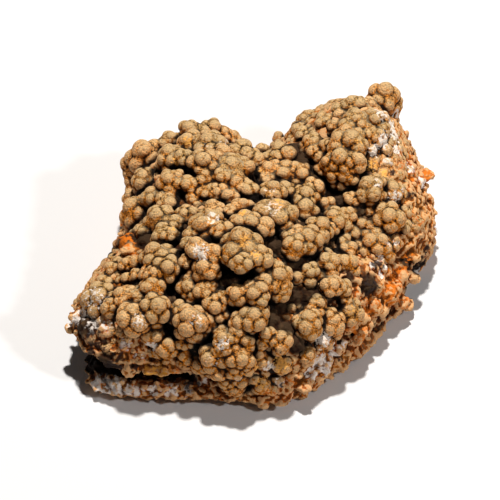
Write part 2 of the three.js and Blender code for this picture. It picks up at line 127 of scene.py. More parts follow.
# The knobs, row by row, as they show on the face:
# mm right of the middle, mm up, radius, mm that it stands proud of the rock.
KNOBS = {
    "left": [
        (-26.5, 23, 3.8, 3), (-27, 17.5, 2.8, 3), (-30, 13, 2.1, 2), (-25, 13, 2.5, 3), (-21, 12, 2.3, 2),
        (-29, 9, 3.5, 3), (-23, 8, 3, 3), (-22, 4, 2.3, 2), (-20, 3.5, 2, 2), (-19, 6.5, 1.8, 2),
        (-27, 4.5, 1.8, 1), (-30.5, 21.5, 1.6, 2),
        (-20, 27, 2.3, 1), (-15, 30, 2.3, 0), (-13, 29, 2.5, 1), (-9.5, 30.5, 2.2, 0), (-7, 29, 2.2, 0),
        (-4.5, 27.5, 1.8, 1), (-9.5, 26, 3.5, 3), (-15, 26.5, 3, 2), (-20, 23, 3, 3), (-16, 23, 2.3, 4),
        (-11.5, 22, 2.8, 5), (-7, 24, 2.3, 4), (-22, 21.5, 1.5, 2), (-2, 24, 3.3, 2), (1.5, 22, 2.5, 1),
        (-4.5, 20, 3.5, 4), (-7, 18.5, 2, 5), (-2, 21, 2.3, 5), (-3, 16, 2.5, 3), (-20, 17, 2.8, 3),
        (-15.5, 16.5, 2, 3), (-18.5, 18.5, 1.6, 4), (-11, 18, 2.5, 3), (-11, 15, 2, 2), (-8, 14.5, 2, 2),
        (-5, 13, 2, 2), (-14.5, 13, 1.5, 1), (-16.5, 9, 1.8, 2), (-14, 9, 1.6, 2), (-9, 10, 2.3, 3),
        (-11, 9, 1.5, 2),
    ],
    "middle": [
        (8.5, 23.5, 3.2, 0), (4.5, 22, 2.3, 0), (5, 20, 2.7, 1), (3, 25, 1.5, 0), (7, 26, 1.6, 0),
        (9, 19, 3, 1), (12.5, 19, 2.8, 1), (15, 17, 2.3, 1), (4, 17, 1.9, 1), (9, 15, 2.1, 2),
        (12, 16.5, 1.9, 1), (7, 28, 1.3, 0),
        (0, 15, 2.3, 3), (5.5, 14.5, 2.7, 4), (6, 9, 4.2, 5), (14, 13, 3, 4), (16, 15, 2.3, 3),
        (14, 10, 3, 5), (19, 11, 2, 3), (21, 8, 2.5, 3), (20, 6, 2, 3), (17.5, 5, 2.8, 4),
        (15, 3, 2.8, 5), (12, 3.5, 2.3, 4), (10, 3, 1.8, 3), (11.5, 1, 2.5, 4), (14, 1, 2, 4),
        (-2, 11, 2.3, 4), (-5, 9.5, 1.8, 3), (-1, 7, 3, 5), (3, 6, 2.5, 5), (-10.5, 6, 3.6, 5),
        (-7, 4.5, 2.3, 5), (-13, 0.5, 2.5, 6), (-9.5, -0.5, 2.3, 6), (-15.5, 1.5, 1.6, 4), (-14, 4, 2, 4),
        (-2, 1, 4.4, 6), (-2, -3, 2.2, 8), (2, -1.5, 3, 6), (-5, -1, 2, 6),
        (-15.5, -3, 1.9, 3), (-11, -5, 2.8, 4), (-15, -10, 2.6, 3), (-12, -10, 2.3, 4), (-14, -12, 2.3, 3),
        (-10.5, -9, 1.6, 3), (-14.5, -7, 1.7, 3), (-3, -11, 2.3, 3), (1.5, -10.5, 2.8, 4), (2.5, -12.5, 2, 4),
        (3.5, -8, 2.1, 4), (7, -7, 3.2, 4), (8, -10, 2.5, 4), (6, -4.5, 2, 4), (-7, -12, 1.6, 2),
        (-9, -14, 2.5, 2), (-11, -12, 1.3, 2), (-7, -17, 1.8, 1), (1, -17, 2.8, 3), (-2.5, -18, 2.3, 2),
        (3, -15, 1.8, 2),
    ],
    "front": [
        (-23.5, -2, 3.2, 2), (-21, -4.5, 2.8, 3), (-19.5, -1.5, 1.8, 2), (-24, -6, 2, 3),
        (-31, -3.5, 1.8, 1), (-28.5, -3, 1.5, 1), (-34.5, -5, 1.8, 0), (-36.5, -8, 2.3, 0),
        (-38, -12, 3.5, 1), (-40.5, -12, 2.5, 0), (-35, -14, 2, 2), (-31, -11, 2.3, 2), (-32, -13, 1.8, 2),
        (-34.5, -12, 1.5, 1), (-31, -7, 1.3, 1), (-28.5, -6.5, 1.6, 1), (-25.5, -6, 1.9, 2),
        (-24.5, -9.5, 2.4, 2), (-28, -10, 1.1, 1), (-29, -17, 3.2, 3), (-24, -15, 3.2, 3),
        (-28, -12, 1.6, 2), (-24, -21.5, 2.3, 1), (-21, -24, 2.5, 1), (-23, -25.5, 1.8, 0),
        (-15, -18, 3.5, 3), (-18, -15.5, 2.3, 2), (-11, -18, 2, 2), (-13, -20.5, 2, 2), (-17, -23, 1.8, 1),
        (-15, -23, 1.6, 1), (-16, -26, 2.3, 0), (-13.5, -24.5, 1.3, 0), (-3, -27, 3.1, 3),
        (-9, -27, 3.3, 3), (-7, -25, 2.3, 4), (-8, -31, 1.7, 4), (-4, -30.5, 2.3, 3), (-1, -29, 2, 2),
        (-4, -34.5, 2, 1), (-12, -28.5, 2, 1), (-6, -32.5, 2, 2), (-2.5, -32.5, 2, 1), (-3, -21.5, 2.5, 2),
        (-7, -21, 1.8, 2), (-6.5, -23, 2.1, 4), (-1, -23, 2, 2),
    ],
    "right": [
        (24.5, 9, 1.8, 1), (24, 6, 1.4, 1), (28, 6.5, 1.3, 0), (30, 6, 1.3, 0), (26, 4, 1.5, 0),
        (29, 3.5, 1.3, 0), (23.5, 2, 1.6, 1), (27, 1, 1.3, 0), (24.5, 0, 2, 1), (27.5, 9.5, 1.2, 0),
        (30, 9.5, 1.4, 0), (25.5, 13, 1.8, 1), (27, 11.5, 1.3, 0), (30, 15, 2.8, 2), (32, 17, 1.8, 1),
        (32, 13, 1.8, 1), (36, 14.5, 2.3, 1), (35, 8, 3.2, 2), (39, 9, 1.8, 0), (38.5, 6, 1.8, 0),
        (41.5, 6.5, 1.8, 0), (32, 1.5, 2.8, 1), (28.5, -0.5, 1.5, 0), (36, 2, 1.8, 1), (34.5, -1, 1.8, 1),
        (20, -3, 2.3, 2), (24, -3, 2.3, 1), (26, -5, 1.5, 0), (15, -5, 1.8, 1), (11.5, -7, 1.5, 1),
        (15, -8, 1.5, 0), (17, -6.5, 1.5, 0), (20.5, -9, 2.3, 2), (23, -10, 2.3, 1), (24, -12, 1.8, 1),
        (20.5, -6, 1.5, 1),
        (15, -19, 2.8, 2), (13, -18, 2, 1), (16, -16, 2, 1), (17, -13.5, 1.8, 1), (21, -19, 2.5, 2),
        (20, -16, 1.8, 1), (25, -16, 3, 1), (18.5, -22.5, 2, 1), (22, -21, 1.3, 1), (8, -23, 2.3, 1),
        (7, -25, 1.3, 1), (4, -21, 1.9, 1), (3, -23.5, 1.5, 1), (2.5, -26, 1.3, 1), (3, -28, 2, 0),
        (8, -29, 2, 0), (3, -34, 2.2, 0), (5.5, -35, 1.5, 0), (10, -15, 1.5, 0), (14.5, -26, 1.8, 0),
    ],
    "ridge": [
        (33.5, 38, 3, 0), (36, 36.5, 1.8, 0), (30, 36.5, 1.8, 0), (26, 36.5, 2.3, 0), (22, 35.5, 1.5, 0),
        (22, 34, 1.3, 0), (26, 33, 2.3, 1), (31, 33, 2.3, 1), (28, 31, 1.8, 1), (33, 33, 1.6, 1),
        (14, 33, 1.8, 0), (18, 33.5, 1.3, 0), (12, 30, 2, 0), (10, 28.5, 1.5, 0), (13, 29, 1.8, 0),
        (18.5, 32, 2, 0), (21, 31, 1.6, 1), (24.5, 30, 2.3, 1), (24, 27, 3.4, 3), (26.5, 26.5, 2.5, 4),
        (22, 26, 2, 4), (19, 26, 1.6, 2), (15.5, 27, 2.3, 1), (14, 25.5, 1.8, 0), (16, 24.5, 1.8, 1),
        (30, 29, 2.2, 1), (32, 28, 1.8, 1), (33, 30.5, 1.8, 1), (23, 22.5, 3.2, 4), (20, 22, 2, 4),
        (26, 22, 2.3, 4), (17.5, 23, 1.4, 2), (18, 20, 1.6, 2), (21, 19.5, 1.8, 3), (24, 19.5, 2, 3),
        (21, 16.5, 1.3, 1), (23, 16, 1.3, 1), (25.5, 18, 1.6, 2), (30, 25, 1.5, 1), (29, 23, 1.4, 0),
        (30.5, 21.5, 1.8, 0), (33, 19, 1.3, 0), (34, 25, 1.5, 0),
    ],
}

# Bare lumps of the rock that stand out between and below the knobs: right, up, radius, proud.
ROCK_LUMPS = [
    (35, -11.5, 2.6, -1), (37.5, -12.8, 2.2, -0.6), (39.5, -13.6, 1.8, -0.4), (31, -14.5, 2.6, -1),
    (27.5, -20.8, 2.2, 0.5), (25.2, -18.8, 2, 0), (29.5, -19, 1.5, 0.5), (44, 18.6, 1.9, 0.8),
    (45.6, 18.2, 1.2, 1), (42, 17, 1.8, 0), (42.2, 20.4, 1.4, 0), (36, -9.5, 2.2, -1), (28, -17, 2.2, -1),
    (33, -15, 2, -1), (22, -25, 2, -1), (41, -7, 2, -1), (-31.3, 2.6, 2.1, 0.8), (-30, 0.2, 1.7, 0.5),
    (-25.2, -30.2, 1.8, 1), (-22, -30.4, 1.6, 1), (-18.6, -29.5, 1.5, 0.5), (-28, -27.5, 1.4, 0.5),
    (3.5, -38, 2, 0), (8.5, -37, 1.9, 0), (13, -33.5, 2, 0), (18, -30.5, 1.7, 0), (38, -6, 2, 0),
    (41, -2, 1.8, 0), (44, 8, 1.8, 0), (45, 12.5, 1.7, 0), (-43, -17, 1.6, 0.3), (-40.2, -18.6, 1.5, 0.3),
]

# Hollows broken into the rock: right, up, radius, how far the middle lies under the surface.
ROCK_HOLLOWS = [
    (-39.5, -21.2, 2.6, 0.6), (-36, -20.4, 2.2, 0.6), (-33.5, -28, 2.6, 0.8), (-30, -29.6, 2.2, 0.8),
    (-26.5, -32.6, 1.4, 0.4), (-13, -31.8, 1.8, 0.6), (-17, -32.4, 1.5, 0.4), (-9, -36, 1.4, 0.4),
    (32.3, -3.8, 1.4, 0.8), (5, -29.5, 0.8, 0.3), (7.8, -33.5, 0.8, 0.3), (-43.6, -16.4, 0.8, 0.3),
    (31, -8.5, 2.6, 1), (27, -10.5, 1.8, 0.8), (42, 3.5, 1.6, 0.5), (37, -9, 1.4, 0.4),
    (11.5, -26, 1.4, 0.4), (22, -28, 1.2, 0.4),
]

# Gullies between the knobs, where little or nothing grew: right, up, radius, how far under the surface.
GULLIES = [
    (11, 24, 2.6, 1.4), (13.4, 21.4, 2.8, 1.6), (16, 18.4, 2.8, 1.6), (19, 13, 2.6, 1.6),
    (22.6, 11.4, 2.4, 1.4), (27, 9.4, 2, 1.2), (30.6, 6.8, 2, 1.2), (6.2, 0.4, 2.4, 1.4),
    (6.8, 4.6, 1.8, 1.2), (13.7, 5.6, 1.6, 1.2), (11, -3.4, 2.4, 1.6), (11.5, -11.6, 2.6, 1.6),
    (15, -11.8, 2.8, 1.8), (18.5, -11.6, 2.2, 1.4), (5, -18, 2.8, 1.8), (8, -20.5, 2.8, 1.6),
    (11.5, -23.4, 2.2, 1.4), (7.5, -14.6, 2.2, 1.6), (28.8, -8.8, 2.4, 1.4), (34.8, 3.4, 1.4, 1),
    (38.7, -3.7, 1.8, 1), (21.5, 0.8, 1.6, 1.2), (-34, 1.6, 2.8, 1.2), (-30, 1.8, 2.6, 1.4),
    (-26, 2, 2.2, 1.2), (-19.6, 12.4, 1.8, 1.2), (-14.8, 12.4, 1.8, 1.2), (-24, -13.4, 1.8, 1.2),
    (-19.4, -13.6, 2.2, 1.6), (-15.4, -14.2, 1.8, 1.4), (-19, -9.5, 2, 1.4), (-7.4, -18.8, 2.2, 1.4),
    (-5.6, -7.5, 2.2, 1.4), (-16.6, 5.4, 1.6, 1.2), (0.4, -20, 2, 1.4), (10.4, 11.6, 1.6, 1.4),
    (-19.8, -20.4, 1.6, 1.2), (24, -7, 1.6, 1.2), (-40, -19.4, 2.8, 1.2), (-35.4, -27.4, 2.4, 1.2),
]

# Stains and crusts of other colours, and black soot that stands partly for painted shade in the rock's
# hollows, placed on whatever lies there: right, up, radius, strength.
STAINS_AND_SHADE = {
    "frost": [
        (-12.3, -0.6, 1.7, 1), (-6.8, -23.6, 1.4, 0.8), (-24.6, -24, 1.3, 1), (18.5, -22.8, 1.8, 1),
        (-39.2, -12, 2.6, 0.6), (-27.8, -17.5, 1.5, 0.6), (-9.5, 8, 1.3, 0.8), (6, 10.5, 1.6, 0.5),
        (5, 14.2, 1.4, 0.4), (-13.5, -17.5, 1.6, 0.35), (-42.2, -16.8, 1.9, 1), (-39, -18.6, 1.7, 0.9),
        (-36, -19, 1.4, 0.7), (-40.5, -34, 2.6, 1), (-36.5, -34, 2.2, 0.9), (-32.5, -34.8, 1.8, 0.8),
        (-28, -35.4, 1.6, 0.7), (-19.5, -34.6, 1.6, 0.8), (-15.5, -34.8, 1.5, 0.7), (-31, -23.5, 1.4, 0.7),
        (-27.5, -26.2, 1.2, 0.6), (33, 34.5, 1.8, 0.9), (35.2, 31, 2, 1), (33.6, 27.5, 1.8, 1),
        (31.4, 25, 1.4, 1), (36.5, 34, 1.2, 0.7), (36, 28.6, 1.6, 1), (37, 25, 1.3, 0.9),
        (34.6, 22.6, 1.2, 0.8), (-44.6, -18.6, 1.4, 0.9), (-38, -33.2, 1.6, 1), (-34, -33.4, 1.6, 1),
        (-30, -34.4, 1.5, 0.9), (-24, -35, 1.4, 0.9), (-12, -33, 1.2, 0.6), (19.6, -30.5, 1.4, 0.9),
        (24, -23.4, 1.2, 0.7), (17.6, -27.8, 1.9, 0.9), (15.6, -30.4, 1.5, 0.9), (21, -25.4, 1.6, 0.8),
        (20.6, -28, 1.3, 0.7), (40, 20.6, 1.3, 0.8), (43.4, 17.2, 1.3, 1), (46, 14.6, 1.8, 0.9),
        (47, 12.6, 1.2, 0.8), (32.3, -1.9, 1, 1), (30.6, -4.2, 0.9, 1), (34.2, -4.2, 0.9, 1),
        (32.6, -6, 1, 1), (36.4, 13.4, 1.4, 0.8), (38.4, 15, 1, 0.6), (34.4, 1.6, 0.8, 0.9),
        (36.6, 1.8, 0.7, 0.9), (4.6, -29.4, 1.3, 0.8), (7.6, -33.2, 1.2, 0.6), (-3, -32.6, 1.1, 0.5),
        (-9.2, -27.8, 1.5, 0.3), (42, -6, 1.2, 0.4), (-11, 25, 1.5, 0.25), (-6, 26.6, 1.4, 0.25),
        (32, 16.8, 1.2, 0.4),
    ],
    "ochre": [
        (-9.6, 7.4, 1.1, 1), (-1.4, 2.6, 1.5, 0.9), (1.4, -1, 1.3, 0.8), (6.8, 11.6, 1.6, 0.9),
        (4.8, 13.6, 1.2, 0.9), (-2, 9.4, 1, 0.9), (9, 7.6, 1, 0.7), (-15.4, 27, 1.2, 0.9),
        (-18.4, 22, 1.1, 0.8), (27.2, 27, 0.8, 0.8), (2.2, -28.6, 1.4, 0.6), (7.6, -29, 2, 0.9),
        (3.4, -33.4, 1.6, 0.6), (25.6, -15.6, 1.4, 0.6), (30.6, 21, 1.5, 0.8), (33.6, 19.2, 1.4, 0.8),
        (-25.2, -30.2, 2, 0.8), (-22, -30.4, 1.8, 0.8), (-7.6, -1.4, 0.8, 0.5), (3, 20, 0.8, 0.4),
        (-19.5, 5.6, 0.9, 0.6),
    ],
    "rust": [
        (-31.6, 2.4, 2.6, 1), (-29, -0.4, 1.6, 0.6), (43.8, 18.8, 2.2, 1), (40.6, 19, 1.6, 0.7),
        (38, 21.4, 1.4, 0.6), (36.6, 24.6, 1.2, 0.6), (28, -21.4, 2.4, 0.6), (-31.5, -25, 2.4, 0.7),
        (-26, -27.4, 1.8, 0.6), (35, -6.6, 2.6, 0.5), (40, -1.4, 2.4, 0.4), (38, -13, 3, 0.4),
        (-37.6, -23.6, 1.8, 0.5), (-10, -34, 2, 0.5), (2.4, -21, 1.4, 0.4), (34, -10, 3, 0.7),
        (30, -14, 2.6, 0.7), (25, -20, 2.4, 0.6), (36, -12, 2.6, 0.7), (38, 2, 2.4, 0.5), (42, 8, 2, 0.5),
        (38, -6, 2.6, 0.6), (10, -33, 2.4, 0.4), (5, -36, 2.4, 0.4), (-20, -29.5, 2, 0.5), (40, 24, 1.6, 0.6),
    ],
    # Black soot: mostly painted shade in the rock's hollows, partly dark specks.
    "soot_and_shade": [
        (40, 13.2, 1.3, 1), (44.3, -0.4, 1.6, 1), (32.3, -3.9, 1.2, 1), (12, 32.2, 1.2, 1),
        (8.8, 29.4, 1.2, 0.9), (-43.4, -19.8, 1.2, 0.7), (-38, -22.6, 2.6, 0.9), (-40, -25.5, 2.2, 0.8),
        (-33, -26.5, 2, 0.8), (-29.5, -29, 1.6, 0.8), (-24.5, -27.2, 1.4, 0.6), (-20, -31.8, 1.4, 0.7),
        (-36, -30.5, 1.6, 0.7), (35.4, 19.4, 0.9, 0.8), (38, 17.4, 0.9, 0.8), (-34, -29, 2.6, 0.8),
        (-14.6, -33.4, 2, 0.8), (22.4, -27, 1.1, 0.7), (19.4, -25.4, 0.8, 0.7), (-38.6, -36, 0.9, 0.6),
        (31.6, -3.6, 1.2, 1), (36.6, -3.6, 0.8, 0.6), (7, -25.6, 0.8, 0.6), (5.4, -30, 0.7, 0.9),
        (8.2, -33.8, 0.7, 0.9), (30.6, -9, 2.4, 0.7),
    ],
}
STAIN_SPREAD = {"frost": 1.5, "ochre": 1.35, "rust": 1.3, "soot_and_shade": 1.35}

# Where stains and the gullies' shade begin and reach their full strength, in radii.
STAIN_FADE = (1.25, 0.35)
GULLY_SHADE = (1.7, 1.05)

# How much rounder the knobs are than listed, so that they press against each other: small ones most.
KNOB_FULLNESS = 1.54
KNOB_EASING = 0.03

# How far knobs sink into the rock, on it and on the crest, and how deep their stalks reach, in radii.
KNOB_SINK = 0.36
CREST_SINK = 0.1
ROOT_DEPTH = 0.8
STALK_STEPS = (0.25, 0.5, 0.75, 1.0)
STALK_GIRTH, STALK_TAPER = 0.9, 0.2

# Knobs that nobody lists: those on the far side, and the small fill between all others. Millimetres.
BACK_KNOBS = dict(spacing=4.2, apart=1.6, radius=(2.0, 3.6), proud=(0.8, 2.2), least_cover=0.7,
                  furthest_share=1.3, facing_limit=-0.05)
FILL_KNOBS = dict(spacing=2.0, overlap=0.6, radius=(1.1, 2.5), proud=(0.3, 1.0), gully_margin=0.4,
                  cover_from=(0.1, 0.6))
RIDGE_FROM_X, LEFT_FROM_Y = 10, -5

# Crumbs of the bare rock, in millimetres: rounded grains, and flakes that lie flat.
CRUMBS = dict(spacing=1.3, radius=(0.5, 1.25), out=(-0.4, 0.35), most_cover=0.5, lowest=0.9,
              share_right=0.9, share_left=0.5, stretch=(0.75, 1.2))
FLAKE_SHARE = 0.3
FLAKE_SHAPE = (1.5, 1.1, 0.5)
FLAKE_TURN = (0.05, 0.05, 1)

# Knob kinds for a radius of 1. Of a pair of values, kinds with an even number take the first.
KNOB_SHAPES = {
    "big": dict(
        core_radius=0.82, bulge_seat=(0.54, 0.6), bulge_spacing=(0.44, 0.52), bulge_radius=0.49,
        lobe_spacing=(0.3, 0.37), lobe_proud=0.045, smallest_lobe=0.28, largest_lobe=0.5,
        body_steps=3, lobe_steps=3),
    "middle": dict(
        core_radius=0.8, bulge_seat=0.5, bulge_spacing=0.5, bulge_radius=0.54,
        lobe_spacing=(0.42, 0.52), lobe_proud=0.06, smallest_lobe=0.36, largest_lobe=0.6,
        body_steps=3, lobe_steps=3),
    "small": dict(
        core_radius=0.84, bulge_seat=0.1, bulge_spacing=5.0, bulge_radius=0.84,
        lobe_spacing=0.56, lobe_proud=0.12, smallest_lobe=0.45, largest_lobe=0.7,
        body_steps=2, lobe_steps=2),
    "plain": dict(
        core_radius=1.0, bulge_seat=0.01, bulge_spacing=5.0, bulge_radius=0.1,
        lobe_spacing=5.0, lobe_proud=-0.4, smallest_lobe=0.1, largest_lobe=0.1,
        body_steps=3, lobe_steps=1),
}
KINDS = {"big": range(0, 8), "middle": range(8, 14), "small": range(14, 18), "plain": range(18, 19)}
PLAIN_KIND = 18
BIG_OVER, MIDDLE_OVER = 3.7, 2.3
KIND_RADIUS = 1.04
KNOB_STRETCH = (0.92, 1.08)

# Where triangles are saved, in millimetres: deep in the rock, under the crust's middle, on the underside.
BURIED_MARGIN = 0.7
UNDER_CRUST_MARGIN, UNDER_CRUST_FROM = 0.16, 8
UNDERSIDE = 0.35

# The rock's foot isn't weathered, and its grains start just over the floor. Millimetres.
ROUGH_FROM, ROUGH_FULL = 0.4, 1.6
LOWEST_GRAIN = 0.05

# The weathered skin of the crust and of the rock, in metres.
WEATHER = {
    "crust": dict(swell_size=0.0035, swell_depth=0.0003, crumb_size=0.0009, crumb_depth=0.00006,
                  grain_size=0.0006, grain_depth=0.00012),
    "rock": dict(swell_size=0.004, swell_depth=0.0018, crumb_size=0.0016, crumb_depth=0.0006,
                 grain_size=0.001, grain_depth=0.0009),
}

# The coarse count of what is solid: its cell and lowest corner in millimetres, and how far it is blurred.
SOLID_GRID = dict(cell=0.8, low=(-54.0, -54.0, -4.0), counts=(136, 136, 62), blur=4)

# What the surface's description reads: how many steps each average takes, and what counts as full.
CREASE_STEPS, CREASE_FULL = 6, 0.05
VALLEY_STEPS, VALLEY_FULL = 30, 0.3
FACING_STEPS, HOLLOW_STEPS, TONE_STEPS = 12, 4, 3
HOLLOW_REACH = 1.6
BRIGHT_WAY = np.array([0.1, 0.35, 0.93])
TONE_BATCH = 4000

# The floor and its lights: place in metres, power in watts, size in metres, colour.
FLOOR_HALF, FLOOR_DROP = 3.0, 0.00005
FLOOR_COLOUR = (0.675, 0.68, 0.7, 1)
SKY_COLOUR, SKY_STRENGTH = (1, 0.985, 0.97, 1), 0.05
LIGHTS = {
    "key_light": ((0.0, 0.25, 1.0), 14.8, 0.05, (1, 0.955, 0.89)),
    "right_light": ((0.72, -0.38, 0.74), 4.4, 0.08, (1, 0.97, 0.94)),
}
SENSOR_WIDTH = 36


# Numbers and fields

def rng_for(part):
    """A random generator that always draws the same numbers for the same part."""
    return np.random.default_rng(SEED + sum(ord(letter) for letter in part))


def smooth(low, high, value):
    t = np.clip((value - low) / (high - low), 0, 1)
    return t * t * (3 - 2 * t)


def around(values, bearing):
    """A value along a bearing in radians, smooth between the ones listed round the circle."""
    ring = np.asarray(values, float)
    n = len(ring)
    place = (bearing / TURN % 1) * n
    i = np.floor(place).astype(int)
    t = place - i
    a, b, c, d = (ring[(i + k) % n] for k in (-1, 0, 1, 2))
    return b + 0.5 * t * (c - a + t * (2 * a - 5 * b + 4 * c - d + t * (3 * (b - c) + d - a)))


def unevenness(x, y, z, size):
    k = TURN / size
    wave = np.sin(k * (x + 0.6 * y)) * np.cos(k * (0.8 * y - 0.5 * z) + 1.3)
    return wave * 0.6 + 0.4 * np.sin(k * 1.9 * (z - 0.4 * x + 0.3 * y) + 0.7)


def bed_height(x, y):
    """Height of the rock's top, in its own millimetres, 0 outside its footprint."""
    share = np.hypot(x, y) / around(ROCK_REACH, np.arctan2(y, x))
    crown = np.full(np.shape(x), float(ROCK_HEIGHT))
    for sx, sy, rise, spread in SWELLS:
        crown = crown + rise * np.exp(-((x - sx) ** 2 + (y - sy) ** 2) / spread**2)
    return crown * np.sqrt(np.clip(1 - share**SHOULDER, 0, 1))


def ledge_out(height, bearing, ledges):
    out = 0
    for at, stands, half, middle, spread in ledges:
        away = bearing - math.radians(middle)
        away = np.degrees(np.arctan2(np.sin(away), np.cos(away)))
        out = out + stands * np.exp(-((away / spread) ** 2) - ((height - at) / half) ** 2)
    return out


def bed_normal(x, y):
    step = 0.5
    dx = (bed_height(x + step, y) - bed_height(x - step, y)) / (2 * step)
    dy = (bed_height(x, y + step) - bed_height(x, y - step)) / (2 * step)
    up = np.stack([-dx, -dy, np.ones_like(dx)], -1)
    return up / np.linalg.norm(up, axis=-1, keepdims=True)


# The line of sight

def sight():
    """The camera's place, its right and its up, in the rock's own millimetres, and the spot it looks at."""
    stage = bpy.context.scene.mottramite_stage
    down = stage.look_down
    right = np.array([1.0, 0, 0])
    up = np.array([0, math.sin(down), math.cos(down)])
    to_eye = np.array([0, -math.cos(down), math.sin(down)])
    aim = np.array(stage.aim) / MM - MIDDLE
    return aim + to_eye * stage.distance / MM, right, up, aim


def seats(places):
    """Where the lines of sight through places (right, up) first meet the rock, or pass nearest to it."""
    eye, right, up, aim = sight()
    places = np.asarray(places, float)
    through = aim + places[:, :1] * right + places[:, 1:2] * up
    along = through - eye
    along /= np.linalg.norm(along, axis=1, keepdims=True)
    reach = np.arange(-SIGHT_REACH, SIGHT_REACH, SIGHT_STEP)
    points = through[:, None, :] + along[:, None, :] * reach[None, :, None]
    bed = bed_height(points[..., 0], points[..., 1])
    clear = np.where(bed > LEAST_BED, points[..., 2] - bed, OUT_OF_REACH)
    crossed = clear <= 0
    first = np.where(crossed.any(1), crossed.argmax(1), clear.argmin(1))
    picked = np.arange(len(places))
    seat = points[picked, first]
    missed = ~crossed.any(1)
    seat[:, 2] -= np.maximum(clear[picked, first], 0)
    return seat, -along, missed


def laid_on_rock(rows):
    """For rows of right, up, radius and proud: the seats, the places, and which ones the rock misses."""
    seat, to_eye, missed = seats(rows[:, :2])
    over_crest = on_sight_line(rows[:, :2], seat)
    return seat, np.where(missed[:, None], over_crest, seat + to_eye * rows[:, 3:4]), missed


def on_sight_line(places, near):
    """The points nearest to near on the lines of sight through places."""
    eye, right, up, aim = sight()
    places = np.asarray(places, float)
    along = aim + places[:, :1] * right + places[:, 1:2] * up - eye
    along /= np.linalg.norm(along, axis=1, keepdims=True)
    return eye + along * ((near - eye) * along).sum(1)[:, None]


# Meshes and evaluated modifiers

def plain_object(name, mesh):
    thing = bpy.data.objects.new(name, mesh)
    bpy.context.scene.collection.objects.link(thing)
    return thing


def point_mesh(name, places, **attributes):
    """A mesh of loose points, places in metres, that carries one value of each attribute per point."""
    mesh = bpy.data.meshes.new(name)
    mesh.vertices.add(len(places))
    mesh.vertices.foreach_set("co", np.asarray(places, np.float32).ravel())
    for label, values in attributes.items():
        store(mesh, label, values)
    return mesh


def store(mesh, label, values):
    values = np.asarray(values)
    if values.ndim == 2:
        layer = mesh.attributes.new(label, "FLOAT_VECTOR", "POINT")
        layer.data.foreach_set("vector", values.astype(np.float32).ravel())
    elif values.dtype.kind == "i":
        layer = mesh.attributes.new(label, "INT", "POINT")
        layer.data.foreach_set("value", values.astype(np.int32))
    else:
        layer = mesh.attributes.new(label, "FLOAT", "POINT")
        layer.data.foreach_set("value", values.astype(np.float32))


def stored(mesh, label):
    data = mesh.attributes[label]
    wide = 3 if data.data_type == "FLOAT_VECTOR" else 1
    values = np.empty(len(data.data) * wide, np.float32)
    data.data.foreach_get("vector" if wide == 3 else "value", values)
    return values.reshape(-1, 3) if wide == 3 else values


def places_of(mesh):
    places = np.empty(len(mesh.vertices) * 3, np.float32)
    mesh.vertices.foreach_get("co", places)
    return places.reshape(-1, 3).astype(float)


def own_places(mesh):
    """Its vertices in the rock's own millimetres, which have the rock's middle at 0."""
    return places_of(mesh) / MM - MIDDLE


def in_metres(places):
    """Places in the rock's own millimetres as metres of the shared frame."""
    return (places + MIDDLE) * MM


def move_vertices(mesh, places):
    mesh.vertices.foreach_set("co", np.asarray(places, np.float32).ravel())


def normals_of(mesh):
    normals = np.empty(len(mesh.vertices) * 3, np.float32)
    mesh.vertex_normals.foreach_get("vector", normals)
    return normals.reshape(-1, 3).astype(float)


def edges_of(mesh):
    ends = np.empty(len(mesh.edges) * 2, np.int32)
    mesh.edges.foreach_get("vertices", ends)
    return ends.reshape(-1, 2)


def triangles_in(mesh):
    mesh.calc_loop_triangles()
    return len(mesh.loop_triangles)


def evaluated(thing):
    """The object's mesh with its modifiers applied."""
    graph = bpy.context.evaluated_depsgraph_get()
    graph.update()
    return bpy.data.meshes.new_from_object(
        thing.evaluated_get(graph), preserve_all_data_layers=True, depsgraph=graph
    )


def discard(*things):
    for thing in things:
        mesh = thing.data
        bpy.data.objects.remove(thing)
        if mesh.users == 0:
            bpy.data.meshes.remove(mesh)


def through_modifiers(mesh, add_modifiers):
    """The mesh after the modifiers that add_modifiers(object) puts on it."""
    thing = plain_object("work_piece", mesh)
    add_modifiers(thing)
    result = evaluated(thing)
    thing.modifiers.clear()
    discard(thing)
    return result


def voxel_joined(thing, voxel):
    remesh = thing.modifiers.new("Join", "REMESH")
    remesh.mode = "VOXEL"
    remesh.voxel_size = voxel
    remesh.adaptivity = 0
    remesh.use_smooth_shade = True


def without_crumbs(mesh, least=300):
    """Drops loose specks that are joined to nothing."""
    ends = edges_of(mesh)
    label = np.arange(len(mesh.vertices))
    while True:
        low = np.minimum(label[ends[:, 0]], label[ends[:, 1]])
        new = label.copy()
        np.minimum.at(new, ends[:, 0], low)
        np.minimum.at(new, ends[:, 1], low)
        new = new[new]
        if (new == label).all():
            break
        label = new
    _, inverse, counts = np.unique(label, return_inverse=True, return_counts=True)
    small = counts[inverse] < least
    if not small.any():
        return mesh
    work = bmesh.new()
    work.from_mesh(mesh)
    work.verts.ensure_lookup_table()
    bmesh.ops.delete(work, geom=[work.verts[i] for i in np.nonzero(small)[0]], context="VERTS")
    work.to_mesh(mesh)
    work.free()
    return mesh


def thinned(mesh, hidden, keep_hidden, most):
    """Fewer triangles where nobody can look, and then no more than most in all."""
    count = triangles_in(mesh)
    buried = float(hidden.mean())
    wanted = count * (1 - buried * (1 - keep_hidden))

    def collapse(thing):
        group = thing.vertex_groups.new(name="buried")
        group.add([int(i) for i in np.nonzero(hidden)[0]], 1.0, "REPLACE")
        fewer = thing.modifiers.new("Fewer", "DECIMATE")
        fewer.ratio = wanted / count
        fewer.vertex_group = group.name
        if wanted > most:
            all_over = thing.modifiers.new("Limit", "DECIMATE")
            all_over.ratio = most / wanted

    if buried > WORTH_THINNING or wanted > most:
        mesh = through_modifiers(mesh, collapse)
    return mesh


# Geometry node trees

